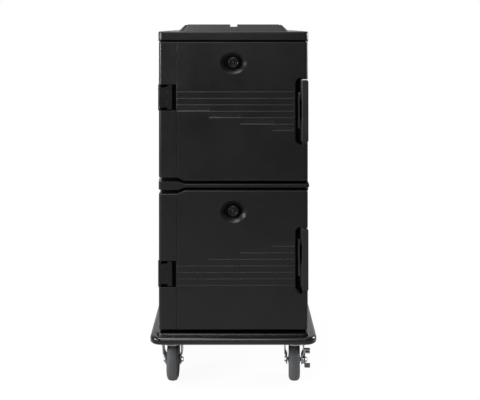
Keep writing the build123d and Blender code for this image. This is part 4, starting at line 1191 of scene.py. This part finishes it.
@dataclass
class Studio:
    """Floor, lights, world and the camera at the photograph's viewing angle.

    Attributes:
        image_width: The picture's width in pixels.
        image_height: The picture's height in pixels.
        focal_px: The camera's focal length in pixels.
        horizon_px: The point of the picture that lies straight ahead of the camera.
        eye: Where the camera stands.
        sensor_mm: The width of its sensor.
        floor_half: Half the floor's side.
        shadow_reach: How far from the cart's middle the shadow starts to fade and is gone.
        shadow_fill: How much of the floor near the cart is plain white to the camera.
        paper_near: The floor's sRGB colour near the cart.
        paper_far: Its colour further away, which the cart mirrors.
        paper_reach: Where the first starts to turn into the second, and where it has.
        room_fill: The room's light on the cart.
        room_front: What the cart mirrors of the room behind the camera.
        room_back: What it mirrors of the room behind the cart.
        room_turn: Where along Y the one starts to turn into the other, and where it has.
        lamps: The lamps.
    """

    image_width: float = 480.0
    image_height: float = 400.0
    focal_px: float = 746.0
    horizon_px: tuple[float, float] = (235.6, 25.0)
    eye: tuple[float, float, float] = (0.007, -2.645, 1.138)
    sensor_mm: float = 36.0
    floor_half: float = 30.0
    shadow_reach: tuple[float, float] = (0.3, 0.6)
    shadow_fill: float = 0.94
    paper_near: str = "#f0f0f0"
    paper_far: str = "#a2a2a2"
    paper_reach: tuple[float, float] = (0.6, 0.76)
    room_fill: float = 0.12
    room_front: float = 0.33
    room_back: float = 1.0
    room_turn: tuple[float, float] = (-0.2, 0.9)
    lamps: tuple[Lamp, ...] = (
        Lamp("key_bank", (-0.8, -0.7, 3.0), (0.0, -0.3, 0.6), 1.2, 50),
        Lamp("front_bank", (-0.3, -3.2, 2.4), (0.0, -0.3, 0.6), 1.4, 54),
        Lamp("left_bank", (-2.6, -1.3, 1.3), (0.0, -0.2, 0.6), 0.8, 100),
        Lamp("left_front_bank", (-2.2, -2.4, 1.2), (0.0, -0.3, 0.6), 0.6, 28),
        Lamp("right_bank", (2.4, 0.4, 1.3), (0.0, -0.1, 0.6), 0.8, 90),
        Lamp("top_bank", (0.4, -0.2, 3.2), (0.0, -0.2, 0.6), 1.2, 10))

    def camera(self) -> None:
        """Make the level camera; its shift keeps the cart's uprights parallel."""
        data = bpy.data.cameras.new("camera")
        data.sensor_width = self.sensor_mm
        data.lens = self.focal_px / self.image_width * self.sensor_mm
        data.shift_x = (self.image_width / 2 - self.horizon_px[0]) / self.image_width
        data.shift_y = (self.horizon_px[1] - self.image_height / 2) / self.image_width
        camera = bpy.data.objects.new("camera", data)
        camera.location = self.eye
        camera.rotation_euler = (QUARTER_TURN, 0, 0)
        bpy.context.scene.collection.objects.link(camera)
        bpy.context.scene.camera = camera

    def floor(self) -> None:
        """Lay a white floor that runs out to plain white and keeps the cart's soft shadow."""
        mesh = bmesh.new()
        bmesh.ops.create_grid(mesh, x_segments=1, y_segments=1, size=self.floor_half)
        data = bpy.data.meshes.new("floor")
        mesh.to_mesh(data)
        mesh.free()
        material = bpy.data.materials.new("white_paper_sweep")
        material.use_nodes = True
        tree = material.node_tree
        tree.nodes.clear()
        place = add_node(tree, "ShaderNodeTexCoord").outputs["Object"]
        away = add_node(tree, "ShaderNodeVectorMath", {0: place}, operation="LENGTH")
        fade = add_node(tree, "ShaderNodeMapRange", {
            "Value": away.outputs["Value"], "From Min": self.shadow_reach[0], "From Max": self.shadow_reach[1],
            "To Min": self.shadow_fill}, interpolation_type="SMOOTHSTEP")
        path = add_node(tree, "ShaderNodeLightPath")
        seen = add_node(tree, "ShaderNodeMath", {
            0: path.outputs["Is Camera Ray"], 1: path.outputs["Is Transmission Ray"]}, operation="MAXIMUM")
        white = add_node(tree, "ShaderNodeMath", {
            0: seen.outputs["Value"], 1: fade.outputs["Result"]}, operation="MULTIPLY")
        spread = add_node(tree, "ShaderNodeMapRange", {
            "Value": away.outputs["Value"], "From Min": self.paper_reach[0], "From Max": self.paper_reach[1]},
            interpolation_type="SMOOTHSTEP")
        sheet = add_node(tree, "ShaderNodeMix", {
            "Factor": spread.outputs["Result"], MIX_A: linear(self.paper_near), MIX_B: linear(self.paper_far)},
            data_type="RGBA")
        paper = add_node(tree, "ShaderNodeBsdfDiffuse", {"Color": sheet.outputs[MIX_OUT]})
        glow = add_node(tree, "ShaderNodeEmission", {"Color": (1, 1, 1, 1), "Strength": 1.0})
        mixed = add_node(tree, "ShaderNodeMixShader", {
            0: white.outputs["Value"], 1: paper.outputs["BSDF"], 2: glow.outputs["Emission"]})
        add_node(tree, "ShaderNodeOutputMaterial", {"Surface": mixed.outputs["Shader"]})
        data.materials.append(material)
        floor = bpy.data.objects.new("floor", data)
        bpy.context.scene.collection.objects.link(floor)

    def world(self) -> None:
        """Surround the scene with a room that is white behind the cart and greyer behind the camera."""
        world = bpy.data.worlds.new("studio")
        bpy.context.scene.world = world
        world.use_nodes = True
        tree = world.node_tree
        tree.nodes.clear()
        path = add_node(tree, "ShaderNodeLightPath")
        around = add_node(tree, "ShaderNodeTexCoord").outputs["Generated"]
        way = add_node(tree, "ShaderNodeSeparateXYZ", {0: around})
        mirrored = add_node(tree, "ShaderNodeMapRange", {
            "Value": way.outputs["Y"], "From Min": self.room_turn[0], "From Max": self.room_turn[1],
            "To Min": self.room_front, "To Max": self.room_back}, interpolation_type="SMOOTHSTEP")
        room = add_node(tree, "ShaderNodeMix", {
            "Factor": path.outputs["Is Glossy Ray"], "A": self.room_fill, "B": mirrored.outputs["Result"]},
            data_type="FLOAT")
        seen = add_node(tree, "ShaderNodeMath", {
            0: path.outputs["Is Camera Ray"], 1: path.outputs["Is Transmission Ray"]}, operation="MAXIMUM")
        strength = add_node(tree, "ShaderNodeMix", {
            "Factor": seen.outputs["Value"], "A": room.outputs[0], "B": 1.0}, data_type="FLOAT")
        glow = add_node(tree, "ShaderNodeBackground", {"Color": (1, 1, 1, 1), "Strength": strength.outputs[0]})
        add_node(tree, "ShaderNodeOutputWorld", {"Surface": glow.outputs["Background"]})

    def build(self) -> None:
        """Set the whole studio."""
        self.camera()
        self.floor()
        self.world()
        for lamp in self.lamps:
            lamp.hang()
        bpy.context.scene.view_settings.view_transform = "Standard"


def main() -> None:
    """Load the frame, build and dress each sub-assembly, and set the studio."""
    logging.basicConfig(level=logging.INFO, format="%(name)s: %(message)s")
    frame = Frame(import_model())
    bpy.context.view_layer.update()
    Studio().build()
    assemblies = [Cabinet(), *(DoorSet(level) for level in Level), Fasteners(), CasterSet()]
    for assembly in assemblies:
        assembly.build(frame)
        assembly.dress(frame)
        LOG.info("built %s", type(assembly).__name__)


if __name__ == "__main__":
    main()
